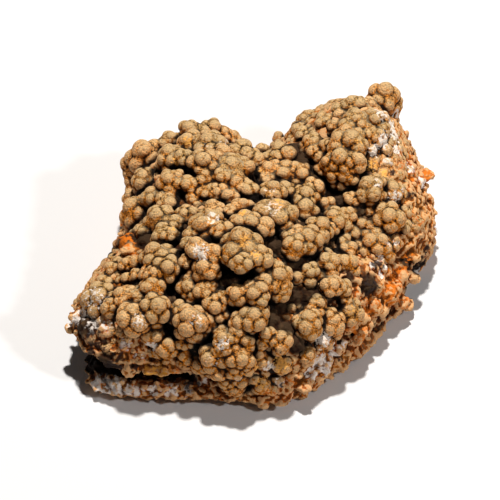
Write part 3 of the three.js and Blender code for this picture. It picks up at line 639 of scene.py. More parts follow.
def geometry_tree(name, inputs):
    """A modifier tree with one geometry in and out and named inputs: (label, socket type, default)."""
    tree = bpy.data.node_groups.new(name, "GeometryNodeTree")
    tree.is_modifier = True
    face = tree.interface
    face.new_socket("Geometry", in_out="INPUT", socket_type="NodeSocketGeometry")
    for label, kind, default in inputs:
        socket = face.new_socket(label, in_out="INPUT", socket_type=kind)
        if default is not None:
            socket.default_value = default
    face.new_socket("Geometry", in_out="OUTPUT", socket_type="NodeSocketGeometry")
    return tree


def feed(tree, socket, value):
    """Feeds an input with another node's socket, or a number, a name or a colour of three parts."""
    if isinstance(value, bpy.types.NodeSocket):
        tree.links.new(value, socket)
    elif isinstance(value, (int, float, str)):
        socket.default_value = value
    else:
        socket.default_value = (*value, 1)


def add_node(tree, kind, inputs=None, **settings):
    """A node with its settings and with what feeds its inputs."""
    made = tree.nodes.new(kind)
    for key, setting in settings.items():
        setattr(made, key, setting)
    for key, value in (inputs or {}).items():
        feed(tree, made.inputs[key], value)
    return made


def math_node(tree, operation, first, second):
    return add_node(tree, "ShaderNodeMath", {0: first, 1: second}, operation=operation).outputs[0]


def set_input(thing, modifier, label, value):
    """Sets a modifier's named input by its socket's identifier."""
    for socket in modifier.node_group.interface.items_tree:
        if socket.item_type == "SOCKET" and socket.in_out == "INPUT" and socket.name == label:
            modifier[socket.identifier] = value
            return
    raise RuntimeError(f"{thing.name} has no input {label}")


def grown_with(thing, tree, **values):
    modifier = thing.modifiers.new(tree.name, "NODES")
    modifier.node_group = tree
    for label, value in values.items():
        set_input(thing, modifier, label.replace("_", " ").capitalize(), value)
    return modifier


def ball_of(tree, radius, steps):
    return add_node(tree, "GeometryNodeMeshIcoSphere",
                    {"Radius": radius, "Subdivisions": steps}).outputs["Mesh"]


def spots_on(tree, mesh, spacing, seed, density):
    """Evenly spaced points on a surface."""
    return add_node(tree, "GeometryNodeDistributePointsOnFaces",
                    {"Mesh": mesh, "Distance Min": spacing, "Seed": seed, "Density Max": density},
                    distribute_method="POISSON").outputs


def one_on_each(tree, points, instance, scale):
    return add_node(tree, "GeometryNodeInstanceOnPoints",
                    {"Points": points, "Instance": instance, "Scale": scale}).outputs["Instances"]


def made_real(tree, *parts):
    joined = add_node(tree, "GeometryNodeJoinGeometry")
    for part in parts:
        tree.links.new(part, joined.inputs[0])
    return add_node(tree, "GeometryNodeRealizeInstances",
                    {"Geometry": joined.outputs["Geometry"]}).outputs["Geometry"]


def random_between(tree, least, most, seed):
    return add_node(tree, "FunctionNodeRandomValue", {2: least, 3: most, "Seed": seed},
                    data_type="FLOAT").outputs[1]


def hand_out(tree, geometry, material):
    """Ends a tree: its geometry gets the material and goes out."""
    painted = add_node(tree, "GeometryNodeSetMaterial", {"Geometry": geometry, "Material": material})
    add_node(tree, "NodeGroupOutput", {"Geometry": painted.outputs["Geometry"]})
    return tree


def lobed_knob_tree():
    """One knob of radius 1: a few broad bulges round a core, and small lobes all over those."""
    tree = geometry_tree("Lobed knob", [
        ("Core radius", "NodeSocketFloat", 0.66), ("Bulge seat", "NodeSocketFloat", 0.42),
        ("Bulge spacing", "NodeSocketFloat", 0.56), ("Bulge radius", "NodeSocketFloat", 0.54),
        ("Lobe spacing", "NodeSocketFloat", 0.34), ("Lobe proud", "NodeSocketFloat", 0.04),
        ("Smallest lobe", "NodeSocketFloat", 0.27), ("Largest lobe", "NodeSocketFloat", 0.36),
        ("Body steps", "NodeSocketInt", 3), ("Lobe steps", "NodeSocketInt", 3),
        ("Seed", "NodeSocketInt", 1), ("Material", "NodeSocketMaterial", None),
    ])
    into = add_node(tree, "NodeGroupInput").outputs
    seed = into["Seed"]
    core = ball_of(tree, into["Core radius"], into["Body steps"])
    seat = ball_of(tree, into["Bulge seat"], 3)
    bulge_spots = spots_on(tree, seat, into["Bulge spacing"], seed, 300.0)["Points"]
    bulge_size = math_node(tree, "MULTIPLY", random_between(tree, 0.86, 1.1, seed), into["Bulge radius"])
    bulges = one_on_each(tree, bulge_spots, ball_of(tree, 1.0, into["Body steps"]), bulge_size)
    body = made_real(tree, core, bulges)

    spots = spots_on(tree, body, into["Lobe spacing"], seed, 600.0)
    where = add_node(tree, "GeometryNodeInputPosition").outputs[0]
    far_out = add_node(tree, "ShaderNodeVectorMath", {0: where}, operation="LENGTH").outputs["Value"]
    outside = add_node(tree, "FunctionNodeCompare", {0: far_out, 1: 0.8},
                       data_type="FLOAT", operation="GREATER_THAN").outputs[0]
    kept = add_node(tree, "GeometryNodeSeparateGeometry",
                    {"Geometry": spots["Points"], "Selection": outside}, domain="POINT")
    size = random_between(tree, into["Smallest lobe"], into["Largest lobe"], seed)
    inward = math_node(tree, "SUBTRACT", into["Lobe proud"], size)
    sink = add_node(tree, "ShaderNodeVectorMath", {0: spots["Normal"], "Scale": inward}, operation="SCALE")
    sunk = add_node(tree, "GeometryNodeSetPosition",
                    {"Geometry": kept.outputs["Selection"], "Offset": sink.outputs[0]})
    lobes = one_on_each(tree, sunk.outputs["Geometry"], ball_of(tree, 1.0, into["Lobe steps"]), size)
    return hand_out(tree, made_real(tree, body, lobes), into["Material"])


def growth_tree():
    """Puts a knob of its kind, size and turn on every point."""
    tree = geometry_tree("Botryoidal growth", [
        ("Knobs", "NodeSocketCollection", None), ("Material", "NodeSocketMaterial", None),
    ])
    into = add_node(tree, "NodeGroupInput").outputs
    kinds = add_node(tree, "GeometryNodeCollectionInfo",
                     {"Collection": into["Knobs"], "Separate Children": True, "Reset Children": True})
    kind, size, turn = (
        add_node(tree, "GeometryNodeInputNamedAttribute", {"Name": label}, data_type=data_type).outputs[0]
        for label, data_type in (("kind", "INT"), ("size", "FLOAT_VECTOR"), ("turn", "FLOAT_VECTOR")))
    spin = add_node(tree, "FunctionNodeEulerToRotation", {"Euler": turn})
    placed = add_node(tree, "GeometryNodeInstanceOnPoints", {
        "Points": into["Geometry"], "Instance": kinds.outputs["Instances"], "Pick Instance": True,
        "Instance Index": kind, "Rotation": spin.outputs[0], "Scale": size,
    })
    return hand_out(tree, made_real(tree, placed.outputs["Instances"]), into["Material"])


def scatter_tree():
    """Evenly spaced points over a surface, each with the way that the surface faces there."""
    tree = geometry_tree("Even scatter", [
        ("Spacing", "NodeSocketFloat", 0.001), ("Seed", "NodeSocketInt", 1),
    ])
    into = add_node(tree, "NodeGroupInput").outputs
    spots = spots_on(tree, into["Geometry"], into["Spacing"], into["Seed"], 4.0e6)
    facing = add_node(tree, "GeometryNodeStoreNamedAttribute",
                      {"Geometry": spots["Points"], "Value": spots["Normal"], "Name": "facing"},
                      data_type="FLOAT_VECTOR", domain="POINT")
    loose = add_node(tree, "GeometryNodePointsToVertices", {"Points": facing.outputs["Geometry"]})
    add_node(tree, "NodeGroupOutput", {"Geometry": loose.outputs["Mesh"]})
    return tree


def weather_tree():
    """Roughens a surface: fine grain, coarser crumbs and broad swells, each with a size and a depth."""
    scales = ["Swell", "Crumb", "Grain"]
    inputs = []
    for label in scales:
        inputs += [(label + " size", "NodeSocketFloat", 0.001), (label + " depth", "NodeSocketFloat", 0.0)]
    tree = geometry_tree("Weathered skin", inputs)
    into = add_node(tree, "NodeGroupInput").outputs
    where = add_node(tree, "GeometryNodeInputPosition").outputs[0]
    total = 0.0
    for label in scales:
        spot = {"Vector": where, "Scale": math_node(tree, "DIVIDE", 1.0, into[label + " size"])}
        if label == "Crumb":
            cells = add_node(tree, "ShaderNodeTexVoronoi", {**spot, "Smoothness": 0.25}, feature="SMOOTH_F1")
            height = math_node(tree, "SUBTRACT", 0.5, cells.outputs["Distance"])
        else:
            noise = add_node(tree, "ShaderNodeTexNoise", {**spot, "Detail": 3.0})
            height = math_node(tree, "SUBTRACT", noise.outputs[0], 0.5)
        total = math_node(tree, "ADD", total, math_node(tree, "MULTIPLY", height, into[label + " depth"]))
    facing = add_node(tree, "GeometryNodeInputNormal").outputs[0]
    mask = add_node(tree, "GeometryNodeInputNamedAttribute", {"Name": "rough"}, data_type="FLOAT").outputs[0]
    masked = math_node(tree, "MULTIPLY", total, mask)
    shift = add_node(tree, "ShaderNodeVectorMath", {0: facing, "Scale": masked}, operation="SCALE")
    moved = add_node(tree, "GeometryNodeSetPosition",
                     {"Geometry": into["Geometry"], "Offset": shift.outputs[0]})
    add_node(tree, "NodeGroupOutput", {"Geometry": moved.outputs["Geometry"]})
    return tree


def tree_of(name, make):
    return bpy.data.node_groups.get(name) or make()


# Knob kinds, from which every growth is picked

def knob_kinds(material):
    """A collection of knob shapes of radius 1: many-lobed ones, simple ones and a plain ball."""
    shelf = bpy.data.collections.new("knob_kinds")
    bpy.context.scene.collection.children.link(shelf)
    tree = tree_of("Lobed knob", lobed_knob_tree)
    for label, numbers in KINDS.items():
        for kind in numbers:
            values = {key: value[kind % 2] if isinstance(value, tuple) else value
                      for key, value in KNOB_SHAPES[label].items()}
            seed_thing = plain_object("seed", bpy.data.meshes.new("seed"))
            grown_with(seed_thing, tree, seed=kind + 1, material=material, **values)
            mesh = evaluated(seed_thing)
            seed_thing.modifiers.clear()
            discard(seed_thing)
            shelf.objects.link(bpy.data.objects.new(f"knob_kind_{kind:02d}", mesh))
    return shelf


def clear_shelf(shelf):
    discard(*list(shelf.objects))
    bpy.data.collections.remove(shelf)


# The rock's form

def rock_form():
    """A fine closed mesh of the rock before it is weathered, with its share of reach at each vertex."""
    bearing = np.arange(BEARINGS) / BEARINGS * TURN
    reach = around(ROCK_REACH, bearing)
    ledges = LEDGES + LAYERS
    rings, shares = [], []

    def ring(r, z, share):
        rings.append(np.stack([r * np.cos(bearing), r * np.sin(bearing), z], 1))
        shares.append(np.full(BEARINGS, share))

    for share in np.linspace(0.01, LIP_SHARE, TOP_RINGS):
        r = reach * share
        x, y = r * np.cos(bearing), r * np.sin(bearing)
        z = bed_height(x, y) + TOP_ROUGHNESS["depth"] * unevenness(x, y, 0, TOP_ROUGHNESS["size"])
        ring(r + ledge_out(z, bearing, ledges) * share**LEDGE_ONSET, z, share)

    lip = reach * LIP_SHARE
    lip_height = bed_height(lip * np.cos(bearing), lip * np.sin(bearing))
    squeeze = np.minimum(1, (lip_height - 1) / (WALL_TOP + 1))
    girth = SIDE_ROUGHNESS["girth"]
    for height in np.linspace(WALL_TOP, WALL_FOOT, WALL_RINGS):
        z = height * squeeze
        rough = SIDE_ROUGHNESS["depth"] * unevenness(
            girth * np.cos(bearing), girth * np.sin(bearing), z * SIDE_ROUGHNESS["steepness"],
            SIDE_ROUGHNESS["size"])
        r = reach - WALL_INSET + ledge_out(z, bearing, ledges) + rough
        ring(r, z, 1 + WALL_SHARE * (WALL_TOP - height))

    for rise in (0.5, 0.25, 0):
        z = FOOT_RISE * rise
        inset = (FOOT_BEVEL + (1 - FOOT_BEVEL) * (1 - 2 * rise) ** 2) * FOOT_INSET
        out = ledge_out(z, bearing, ledges) * (0.4 + 1.2 * rise)
        ring(reach - inset + out, np.full(BEARINGS, z), UNDER_SHARE)
    foot = rings[-1]
    for share in (0.8, 0.5, 0.2, 0.01):
        rings.append(foot * np.array([share, share, 0]))
        shares.append(np.full(BEARINGS, float(UNDER_SHARE)))

    mesh = mesh_of_rings(rings)
    share = np.concatenate(shares)
    edge = around(SHEET_EDGE, np.tile(bearing, len(rings)))
    store(mesh, "cover", 1 - smooth(edge - EDGE_FADE, edge + EDGE_FADE, share))
    store(mesh, "share", share)
    return mesh


def mesh_of_rings(rings):
    """A closed mesh of rings of points, with a flat face over the first one and under the last."""
    count, rows = len(rings[0]), len(rings)
    i = np.arange(count)
    j = (i + 1) % count
    corners = [np.stack([r * count + i, (r + 1) * count + i, (r + 1) * count + j, r * count + j], 1)
               for r in range(rows - 1)]
    faces = np.concatenate(corners).tolist() + [list(i), list(((rows - 1) * count + i)[::-1])]
    mesh = bpy.data.meshes.new("rock_form")
    mesh.from_pydata(in_metres(np.concatenate(rings)).tolist(), [], faces)
    mesh.update()
    return mesh


def scattered(form, spacing, seed):
    """Points spread over the rock's form: places in its own millimetres, facing, cover and share."""
    thing = plain_object("scatter_work", form.copy())
    grown_with(thing, tree_of("Even scatter", scatter_tree), spacing=spacing * MM, seed=seed)
    mesh = evaluated(thing)
    thing.modifiers.clear()
    discard(thing)
    facing = stored(mesh, "facing").astype(float)
    found = own_places(mesh), facing, stored(mesh, "cover"), stored(mesh, "share")
    bpy.data.meshes.remove(mesh)
    return found


# Growing the crust

def listed_knobs():
    """Every listed knob, in the rock's millimetres: its place, radius, the root of its stalk, its mass."""
    rows, masses = [], []
    for mass, row in KNOBS.items():
        rows += row
        masses += [mass] * len(row)
    rows = np.array(rows, float)
    seat, place, missed = laid_on_rock(rows)
    listed = rows[:, 2:3]
    normal = bed_normal(seat[:, 0], seat[:, 1])
    root = seat - normal * ROOT_DEPTH * listed
    radius = rows[:, 2] * (KNOB_FULLNESS - KNOB_EASING * rows[:, 2])
    sink = np.where(missed[:, None], CREST_SINK, KNOB_SINK) * listed
    return place - normal * sink, radius, root, np.array(masses)


def stalk_balls(place, radius, root, own):
    """Balls from each knob down to its root in the rock, so that none floats."""
    balls = [place + (root - place) * share for share in STALK_STEPS]
    sizes = [radius * (STALK_GIRTH - STALK_TAPER * share) for share in STALK_STEPS]
    return np.concatenate(balls), np.concatenate(sizes), np.concatenate([own] * len(STALK_STEPS))


def nearest_ball(points, centres, radii):
    """How far each point is from the nearest ball's skin, and which ball that is."""
    gap = np.linalg.norm(points[:, None, :] - centres[None, :, :], axis=2) - radii[None, :]
    return gap.min(1), gap.argmin(1)


def back_knobs(form, draw, place, radius):
    """Knobs on the side that faces away: their places, radii and masses."""
    rule = BACK_KNOBS
    spots, facing, cover, share = scattered(form, rule["spacing"], 3)
    gap, _ = nearest_ball(spots, place, radius)
    eye, _, _, aim = sight()
    turned_away = facing @ (eye - aim) / np.linalg.norm(eye - aim) < rule["facing_limit"]
    free = (cover > rule["least_cover"]) & (gap > rule["apart"]) & turned_away
    free &= share < rule["furthest_share"]
    spots, facing = spots[free], facing[free]
    radius = draw.uniform(*rule["radius"], len(spots))
    place = spots + facing * (draw.uniform(*rule["proud"], len(spots)) - radius)[:, None]
    mass = np.where(spots[:, 0] > RIDGE_FROM_X, "ridge", np.where(spots[:, 1] > LEFT_FROM_Y, "left", "front"))
    return place, radius, mass


def fill_knobs(form, draw, place, radius, mass):
    """Small knobs in what space the others leave, but not in the gullies."""
    rule = FILL_KNOBS
    spots, facing, cover, _ = scattered(form, rule["spacing"], 5)
    keep = cover > draw.uniform(*rule["cover_from"], len(cover))
    spots, facing = spots[keep], facing[keep]
    gap, closest = nearest_ball(spots, place, radius)
    seen = gap > -rule["overlap"]
    spots, facing, closest = spots[seen], facing[seen], closest[seen]
    own_radius = draw.uniform(*rule["radius"], len(spots))
    own_place = spots + facing * (draw.uniform(*rule["proud"], len(spots)) - own_radius)[:, None]
    grown = np.ones(len(spots), bool)
    for centre, hollow_radius in hollow_balls(GULLIES):
        grown &= np.linalg.norm(own_place - centre, axis=1) >= hollow_radius + rule["gully_margin"]
    return own_place[grown], own_radius[grown], mass[closest[grown]]


def grown_points(form):
    """All balls of the crust: dict of place, radius, kind and mass, in the rock's millimetres."""
    draw = rng_for("crust")
    place, radius, root, mass = listed_knobs()
    stalk_place, stalk_radius, stalk_mass = stalk_balls(place, radius, root, mass)
    back_place, back_radius, back_mass = back_knobs(form, draw, place, radius)
    every_place = np.concatenate([place, back_place])
    every_radius = np.concatenate([radius, back_radius])
    every_mass = np.concatenate([mass, back_mass])
    fill_place, fill_radius, fill_mass = fill_knobs(form, draw, every_place, every_radius, every_mass)

    many = len(every_place)
    kinds = np.concatenate([
        np.select([every_radius > BIG_OVER, every_radius > MIDDLE_OVER],
                  [draw.choice(KINDS["big"], many), draw.choice(KINDS["middle"], many)],
                  draw.choice(KINDS["small"], many)),
        np.full(len(stalk_place), PLAIN_KIND),
        draw.choice(KINDS["small"], len(fill_place)),
    ])
    places = np.concatenate([every_place, stalk_place, fill_place])
    radii = np.concatenate([every_radius, stalk_radius, fill_radius])
    masses = np.concatenate([every_mass, stalk_mass, fill_mass])
    size = radii[:, None] / KIND_RADIUS * draw.uniform(*KNOB_STRETCH, (len(radii), 3))
    turn = draw.uniform(0, TURN, (len(radii), 3))
    return dict(place=places, radius=radii, kind=kinds, mass=masses, size=size, turn=turn,
                knob=np.arange(len(radii)) < many)


def solid_share(points):
    """A coarse 3D count of how much of the neighbourhood of each cell is solid, and how to look it up."""
    cell = SOLID_GRID["cell"]
    low = np.array(SOLID_GRID["low"])
    counts = np.array(SOLID_GRID["counts"])
    axes = [low[k] + cell * (np.arange(counts[k]) + 0.5) for k in range(3)]
    x, y = np.meshgrid(axes[0], axes[1], indexing="ij")
    height = axes[2][None, None, :]
    solid = ((height > 0) & (height < bed_height(x, y)[:, :, None])).astype(np.float32)
    for place, radius in zip(points["place"], points["radius"]):
        at = (place - low) / cell
        first = np.maximum(np.floor(at - radius / cell).astype(int), 0)
        last = np.minimum(np.ceil(at + radius / cell).astype(int) + 1, counts)
        gx, gy, gz = (axes[k][first[k]:last[k]] - place[k] for k in range(3))
        inside = gx[:, None, None] ** 2 + gy[None, :, None] ** 2 + gz[None, None, :] ** 2 < radius**2
        block = solid[first[0]:last[0], first[1]:last[1], first[2]:last[2]]
        np.maximum(block, inside, out=block)
    half = SOLID_GRID["blur"]
    for axis in range(3):
        padded = np.cumsum(np.insert(solid, 0, 0, axis=axis), axis=axis)
        n = counts[axis]
        high_index = np.minimum(np.arange(n) + half + 1, n)
        low_index = np.maximum(np.arange(n) - half, 0)
        solid = (np.take(padded, high_index, axis) - np.take(padded, low_index, axis)) / (2 * half + 1)

    def look_up(places):
        at = np.clip(((places - low) / cell).astype(int), 0, counts - 1)
        return solid[at[:, 0], at[:, 1], at[:, 2]]

    return look_up


def spread_over(values, ends, times):
    """Values averaged with their neighbours' a number of times."""
    n = len(values)
    a, b = ends[:, 0], ends[:, 1]
    degree = np.bincount(a, minlength=n) + np.bincount(b, minlength=n)
    degree = np.maximum(degree, 1)
    flat = values.reshape(n, -1).astype(float)
    for _ in range(times):
        mixed = np.empty_like(flat)
        for k in range(flat.shape[1]):
            column = flat[:, k]
            mixed[:, k] = np.bincount(a, column[b], n) + np.bincount(b, column[a], n)
        flat = 0.5 * flat + 0.5 * mixed / degree[:, None]
    return flat.reshape(values.shape)


def describe_surface(mesh, look_up, points):
    """Stores what the materials read: creases, hollows, which way the form faces, and each knob's tone."""
    places = own_places(mesh)
    normals = normals_of(mesh)
    ends = edges_of(mesh)
    bend = ((spread_over(places, ends, CREASE_STEPS) - places) * normals).sum(1)
    valley = ((spread_over(places, ends, VALLEY_STEPS) - places) * normals).sum(1)
    store(mesh, "crease", np.clip(spread_over(bend, ends, 1) / CREASE_FULL, -1, 1))
    store(mesh, "valley", np.clip(valley / VALLEY_FULL, -1, 1))
    around_it = look_up(places + normals * HOLLOW_REACH)
    store(mesh, "hollow", np.clip(spread_over(around_it, ends, HOLLOW_STEPS), 0, 1))
    facing = spread_over(normals, ends, FACING_STEPS)
    facing /= np.maximum(np.linalg.norm(facing, axis=1, keepdims=True), 1e-6)
    store(mesh, "lift", np.clip(0.5 + 0.5 * (facing @ BRIGHT_WAY), 0, 1))
    if points is not None:
        store(mesh, "tone", spread_over(knob_tones(places, points), ends, TONE_STEPS))


def knob_tones(places, points):
    """For each place the tone of the knob that it lies on, 0 to 1."""
    knobs = points["knob"]
    centres, radii = points["place"][knobs], points["radius"][knobs]
    tones = rng_for("tone").uniform(0, 1, len(centres))
    tone = np.empty(len(places))
    for start in range(0, len(places), TONE_BATCH):
        part = places[start:start + TONE_BATCH]
        gap = ((part[:, None, :] - centres[None]) ** 2).sum(2) / (radii**2)[None]
        tone[start:start + TONE_BATCH] = tones[gap.argmin(1)]
    return tone


# Shader node groups and materials

# What kind of socket holds a default of each type.
SOCKET_OF = {float: "NodeSocketFloat", tuple: "NodeSocketColor", type(None): "NodeSocketVector"}


def srgb(red, green, blue):
    """A colour read from a screen as 0 to 255, as the linear colour that Blender uses."""
    parts = [v / 255 for v in (red, green, blue)]
    return [v / 12.92 if v <= 0.04045 else ((v + 0.055) / 1.055) ** 2.4 for v in parts]


# How the crust and the rock are grained and stained, with painted shade in the creases, gullies and hollows
# and painted highlights on the ridges.
CRUST_LOOK = {
    "grains": 2400.0, "shade": (0.32, 0.7, 0.34, 1.72), "bump": 1.0, "bump_depth": 0.0003,
    "Painted shade and highlight": {
        # Warm and Dark colour the painted shade, Pale colours the painted highlight on the ridges and the
        # dust.
        "Warm": srgb(140, 76, 12), "Dark": srgb(18, 8, 2), "Pale": srgb(222, 192, 146),
        "Warm from": 0.32, "Dark from": 0.4, "Crease shade": 0.92, "Ridge highlight": 0.45, "Dust": 0.6, "Gully shade": 0.8,
    },
    "Stains and shade": {
        "Frost": srgb(228, 216, 204), "Ochre": srgb(236, 172, 86), "Rust": srgb(190, 96, 24),
        "Soot_and_shade": srgb(42, 34, 34), "Size per metre": 1300.0,
    },
}
ROCK_LOOK = {
    "grains": 1700.0, "shade": (0.3, 0.7, 0.68, 1.25), "bump": 0.8, "bump_depth": 0.00025,
    "Painted shade and highlight": {
        # Warm and Dark colour the painted shade, Pale colours the painted highlight on the ridges and the
        # dust.
        "Warm": srgb(150, 72, 14), "Dark": srgb(24, 11, 4), "Pale": srgb(232, 200, 150),
        "Warm from": 0.42, "Dark from": 0.54, "Crease shade": 0.62, "Ridge highlight": 0.5, "Dust": 0.6, "Gully shade": 0.35,
    },
    "Stains and shade": {
        "Frost": srgb(232, 222, 214), "Ochre": srgb(214, 148, 60), "Rust": srgb(204, 108, 22),
        "Soot_and_shade": srgb(40, 30, 28), "Size per metre": 800.0,
    },
}


def shader_group(name, inputs, outputs):
    """A shader tree with named inputs, (label, default), and outputs: a colour, a number or a vector."""
    tree = bpy.data.node_groups.new(name, "ShaderNodeTree")
    for label, default in inputs:
        kind = SOCKET_OF[type(default)]
        socket = tree.interface.new_socket(label, in_out="INPUT", socket_type=kind)
        if default is not None:
            socket.default_value = default
    for label, kind in outputs:
        tree.interface.new_socket(label, in_out="OUTPUT", socket_type=kind)
    return tree


def attribute(tree, label):
    return add_node(tree, "ShaderNodeAttribute", attribute_name=label).outputs["Fac"]


def ramp(tree, value, low, high, start=0.0, end=1.0):
    return add_node(tree, "ShaderNodeMapRange",
                    {"Value": value, "From Min": low, "From Max": high, "To Min": start, "To Max": end},
                    interpolation_type="SMOOTHSTEP", clamp=True).outputs["Result"]


def blended(tree, share, below, above, mode="MIX"):
    """Two colours mixed by a share, each a colour or a socket."""
    return add_node(tree, "ShaderNodeMix", {0: share, 6: below, 7: above},
                    data_type="RGBA", blend_type=mode, clamp_factor=True).outputs[2]


def noise_value(tree, where, per_metre, detail=3.0, rough=0.55, distort=0.0):
    return add_node(tree, "ShaderNodeTexNoise", {
        "Vector": where, "Scale": per_metre, "Detail": detail, "Roughness": rough, "Distortion": distort,
    }).outputs[0]


def centred(tree, value, half, scale):
    """A value's distance from its middle, scaled."""
    return math_node(tree, "MULTIPLY", math_node(tree, "SUBTRACT", value, half), scale)


def grain_group():
    """Fine sugary grain: a speckle for the colour and a height for the bump."""
    tree = shader_group("Sugary grain", [("Vector", None), ("Grains per metre", 3000.0)],
                        [("Speckle", "NodeSocketFloat"), ("Height", "NodeSocketFloat")])
    into = add_node(tree, "NodeGroupInput").outputs
    spot = {"Vector": into["Vector"], "Scale": into["Grains per metre"]}
    speckle = add_node(tree, "ShaderNodeTexNoise", {**spot, "Detail": 2.0}).outputs[0]
    cells = add_node(tree, "ShaderNodeTexVoronoi", spot).outputs["Distance"]
    height = math_node(tree, "ADD", speckle, math_node(tree, "MULTIPLY", cells, -0.6))
    add_node(tree, "NodeGroupOutput", {"Speckle": speckle, "Height": height})
    return tree


def shade_and_highlight_group():
    """Paints shade into a colour: warms and darkens it in the hollows, darkens it in the creases and gullies,
    and pales it on the ridges as a painted highlight.
    """
    tree = shader_group("Painted shade and highlight", [
        ("Color", (0.5, 0.5, 0.5, 1)), ("Warm", (0.4, 0.2, 0.05, 1)), ("Dark", (0.02, 0.01, 0.005, 1)),
        ("Pale", (0.8, 0.7, 0.6, 1)), ("Warm from", 0.3), ("Dark from", 0.45), ("Crease shade", 0.8),
        ("Ridge highlight", 0.5), ("Gully shade", 0.5), ("Dust", 0.5), ("Vector", None),
    ], [("Color", "NodeSocketColor")])
    into = add_node(tree, "NodeGroupInput").outputs
    hollow, crease, valley, lift, depth = (
        attribute(tree, label) for label in ("hollow", "crease", "valley", "lift", "depth"))
    # Painted shade: a warm, darker brown in the hollows, most on the faces that turn down.
    warm = ramp(tree, hollow, into["Warm from"], math_node(tree, "ADD", into["Warm from"], 0.16))
    warm = math_node(tree, "MULTIPLY", warm, ramp(tree, lift, 0.94, 0.6, 0.15, 1.0))
    color = blended(tree, warm, into["Color"], into["Warm"])
    # Painted highlight: the colour is paled on the ridges.
    ridge = math_node(tree, "MULTIPLY", ramp(tree, crease, -0.12, -0.7), into["Ridge highlight"])
    color = blended(tree, ridge, color, into["Pale"])
    patches = ramp(tree, noise_value(tree, into["Vector"], 160.0, 3.0, 0.5), 0.44, 0.6)
    dusted = math_node(tree, "MULTIPLY", patches, ramp(tree, lift, 0.72, 0.94))
    dusted = math_node(tree, "MULTIPLY", dusted, into["Dust"])
    # Painted shade in the creases: dark, but pale where dust lies on the upward faces.
    crease_shade = math_node(tree, "MULTIPLY", ramp(tree, crease, 0.12, 0.7), into["Crease shade"])
    color = blended(tree, crease_shade, color, blended(tree, dusted, into["Dark"], into["Pale"]))
    # Painted shade in the gullies, which the valley attribute finds.
    gully = math_node(tree, "MULTIPLY", ramp(tree, valley, 0.2, 1.0), into["Gully shade"])
    color = blended(tree, gully, color, into["Dark"])
    # Painted shade: dark in the deep hollows and in the gullies that the depth attribute marks.
    dark = ramp(tree, hollow, into["Dark from"], math_node(tree, "ADD", into["Dark from"], 0.2))
    dark = math_node(tree, "MAXIMUM", dark, math_node(tree, "MULTIPLY", depth, 0.95))
    add_node(tree, "NodeGroupOutput", {"Color": blended(tree, dark, color, into["Dark"])})
    return tree


def stain_and_shade_group():
    """Lays white frost, ochre, red rust and black soot over a colour where the surface says so; the soot is
    partly painted shade.
    """
    tree = shader_group("Stains and shade", [
        ("Color", (0.5, 0.5, 0.5, 1)), ("Vector", None), ("Frost", (0.85, 0.83, 0.8, 1)),
        ("Ochre", (0.8, 0.4, 0.05, 1)), ("Rust", (0.5, 0.1, 0.01, 1)), ("Soot_and_shade", (0.02, 0.02, 0.02, 1)),
        ("Size per metre", 900.0),
    ], [("Color", "NodeSocketColor")])
    into = add_node(tree, "NodeGroupInput").outputs
    torn = noise_value(tree, into["Vector"], into["Size per metre"], 4.0, 0.5)
    break_up = centred(tree, torn, 0.52, 4.2)
    color = into["Color"]
    # The soot is partly painted shade in the rock's hollows.
    for label in ("rust", "ochre", "frost", "soot_and_shade"):
        stained = attribute(tree, label)
        spot = ramp(tree, math_node(tree, "ADD", stained, break_up), 0.3, 0.95, 0.0, 0.92)
        here = math_node(tree, "MULTIPLY", spot, ramp(tree, stained, 0, 0.25))
        color = blended(tree, here, color, into[label.capitalize()])
    add_node(tree, "NodeGroupOutput", {"Color": color})
    return tree


def use_group(tree, name, make, inputs):
    return add_node(tree, "ShaderNodeGroup", inputs, node_tree=tree_of(name, make)).outputs


def new_material(name, roughness):
    material = bpy.data.materials.new(name)
    material.use_nodes = True
    tree = material.node_tree
    shader = tree.nodes["Principled BSDF"]
    for label, value in {"Metallic": 0, "Roughness": roughness, "Specular IOR Level": 0.16}.items():
        shader.inputs[label].default_value = value
    where = add_node(tree, "ShaderNodeTexCoord").outputs["Object"]
    return material, tree, where


def finish_material(tree, where, color, look):
    """Adds grain, painted shade in the recesses, painted highlights on the ridges and stains to a material's
    colour, and the grain to its relief.
    """
    at = {"Vector": where}
    grain = use_group(tree, "Sugary grain", grain_group, {**at, "Grains per metre": look["grains"]})
    shade = ramp(tree, grain["Speckle"], *look["shade"])
    gray = add_node(tree, "ShaderNodeCombineColor", {0: shade, 1: shade, 2: shade}).outputs[0]
    color = blended(tree, 1.0, color, gray, "MULTIPLY")
    for name, make in (("Painted shade and highlight", shade_and_highlight_group), ("Stains and shade", stain_and_shade_group)):
        color = use_group(tree, name, make, {"Color": color, **at, **look[name]})["Color"]
    bump = add_node(tree, "ShaderNodeBump", {
        "Height": grain["Height"], "Strength": look["bump"], "Distance": look["bump_depth"],
    }).outputs["Normal"]
    shader = tree.nodes["Principled BSDF"]
    tree.links.new(color, shader.inputs["Base Color"])
    tree.links.new(bump, shader.inputs["Normal"])


def mottramite_material():
    """Olive-grey on top, warm tan below, with painted shade in the creases and hollows, painted highlights on
    the ridges and a sugary grain.
    """
    colours = bpy.context.scene.mottramite_crust
    material, tree, where = new_material("mottramite_olive_brown", 0.8)
    drift = centred(tree, noise_value(tree, where, 90.0), 0.5, 0.7)
    mottle = centred(tree, noise_value(tree, where, 420.0, 4.0, 0.6), 0.5, 0.55)
    lift = math_node(tree, "ADD", math_node(tree, "ADD", attribute(tree, "lift"), mottle), drift)
    color = blended(tree, ramp(tree, lift, 0.5, 1.02), colours.flank, colours.crown)
    tone = attribute(tree, "tone")
    color = blended(tree, ramp(tree, tone, 0.55, 1.0, 0.0, 0.4), color, colours.pinkish)
    color = blended(tree, ramp(tree, tone, 0.4, 0.0, 0.0, 0.35), color, colours.olive)
    finish_material(tree, where, color, CRUST_LOOK)
    return material


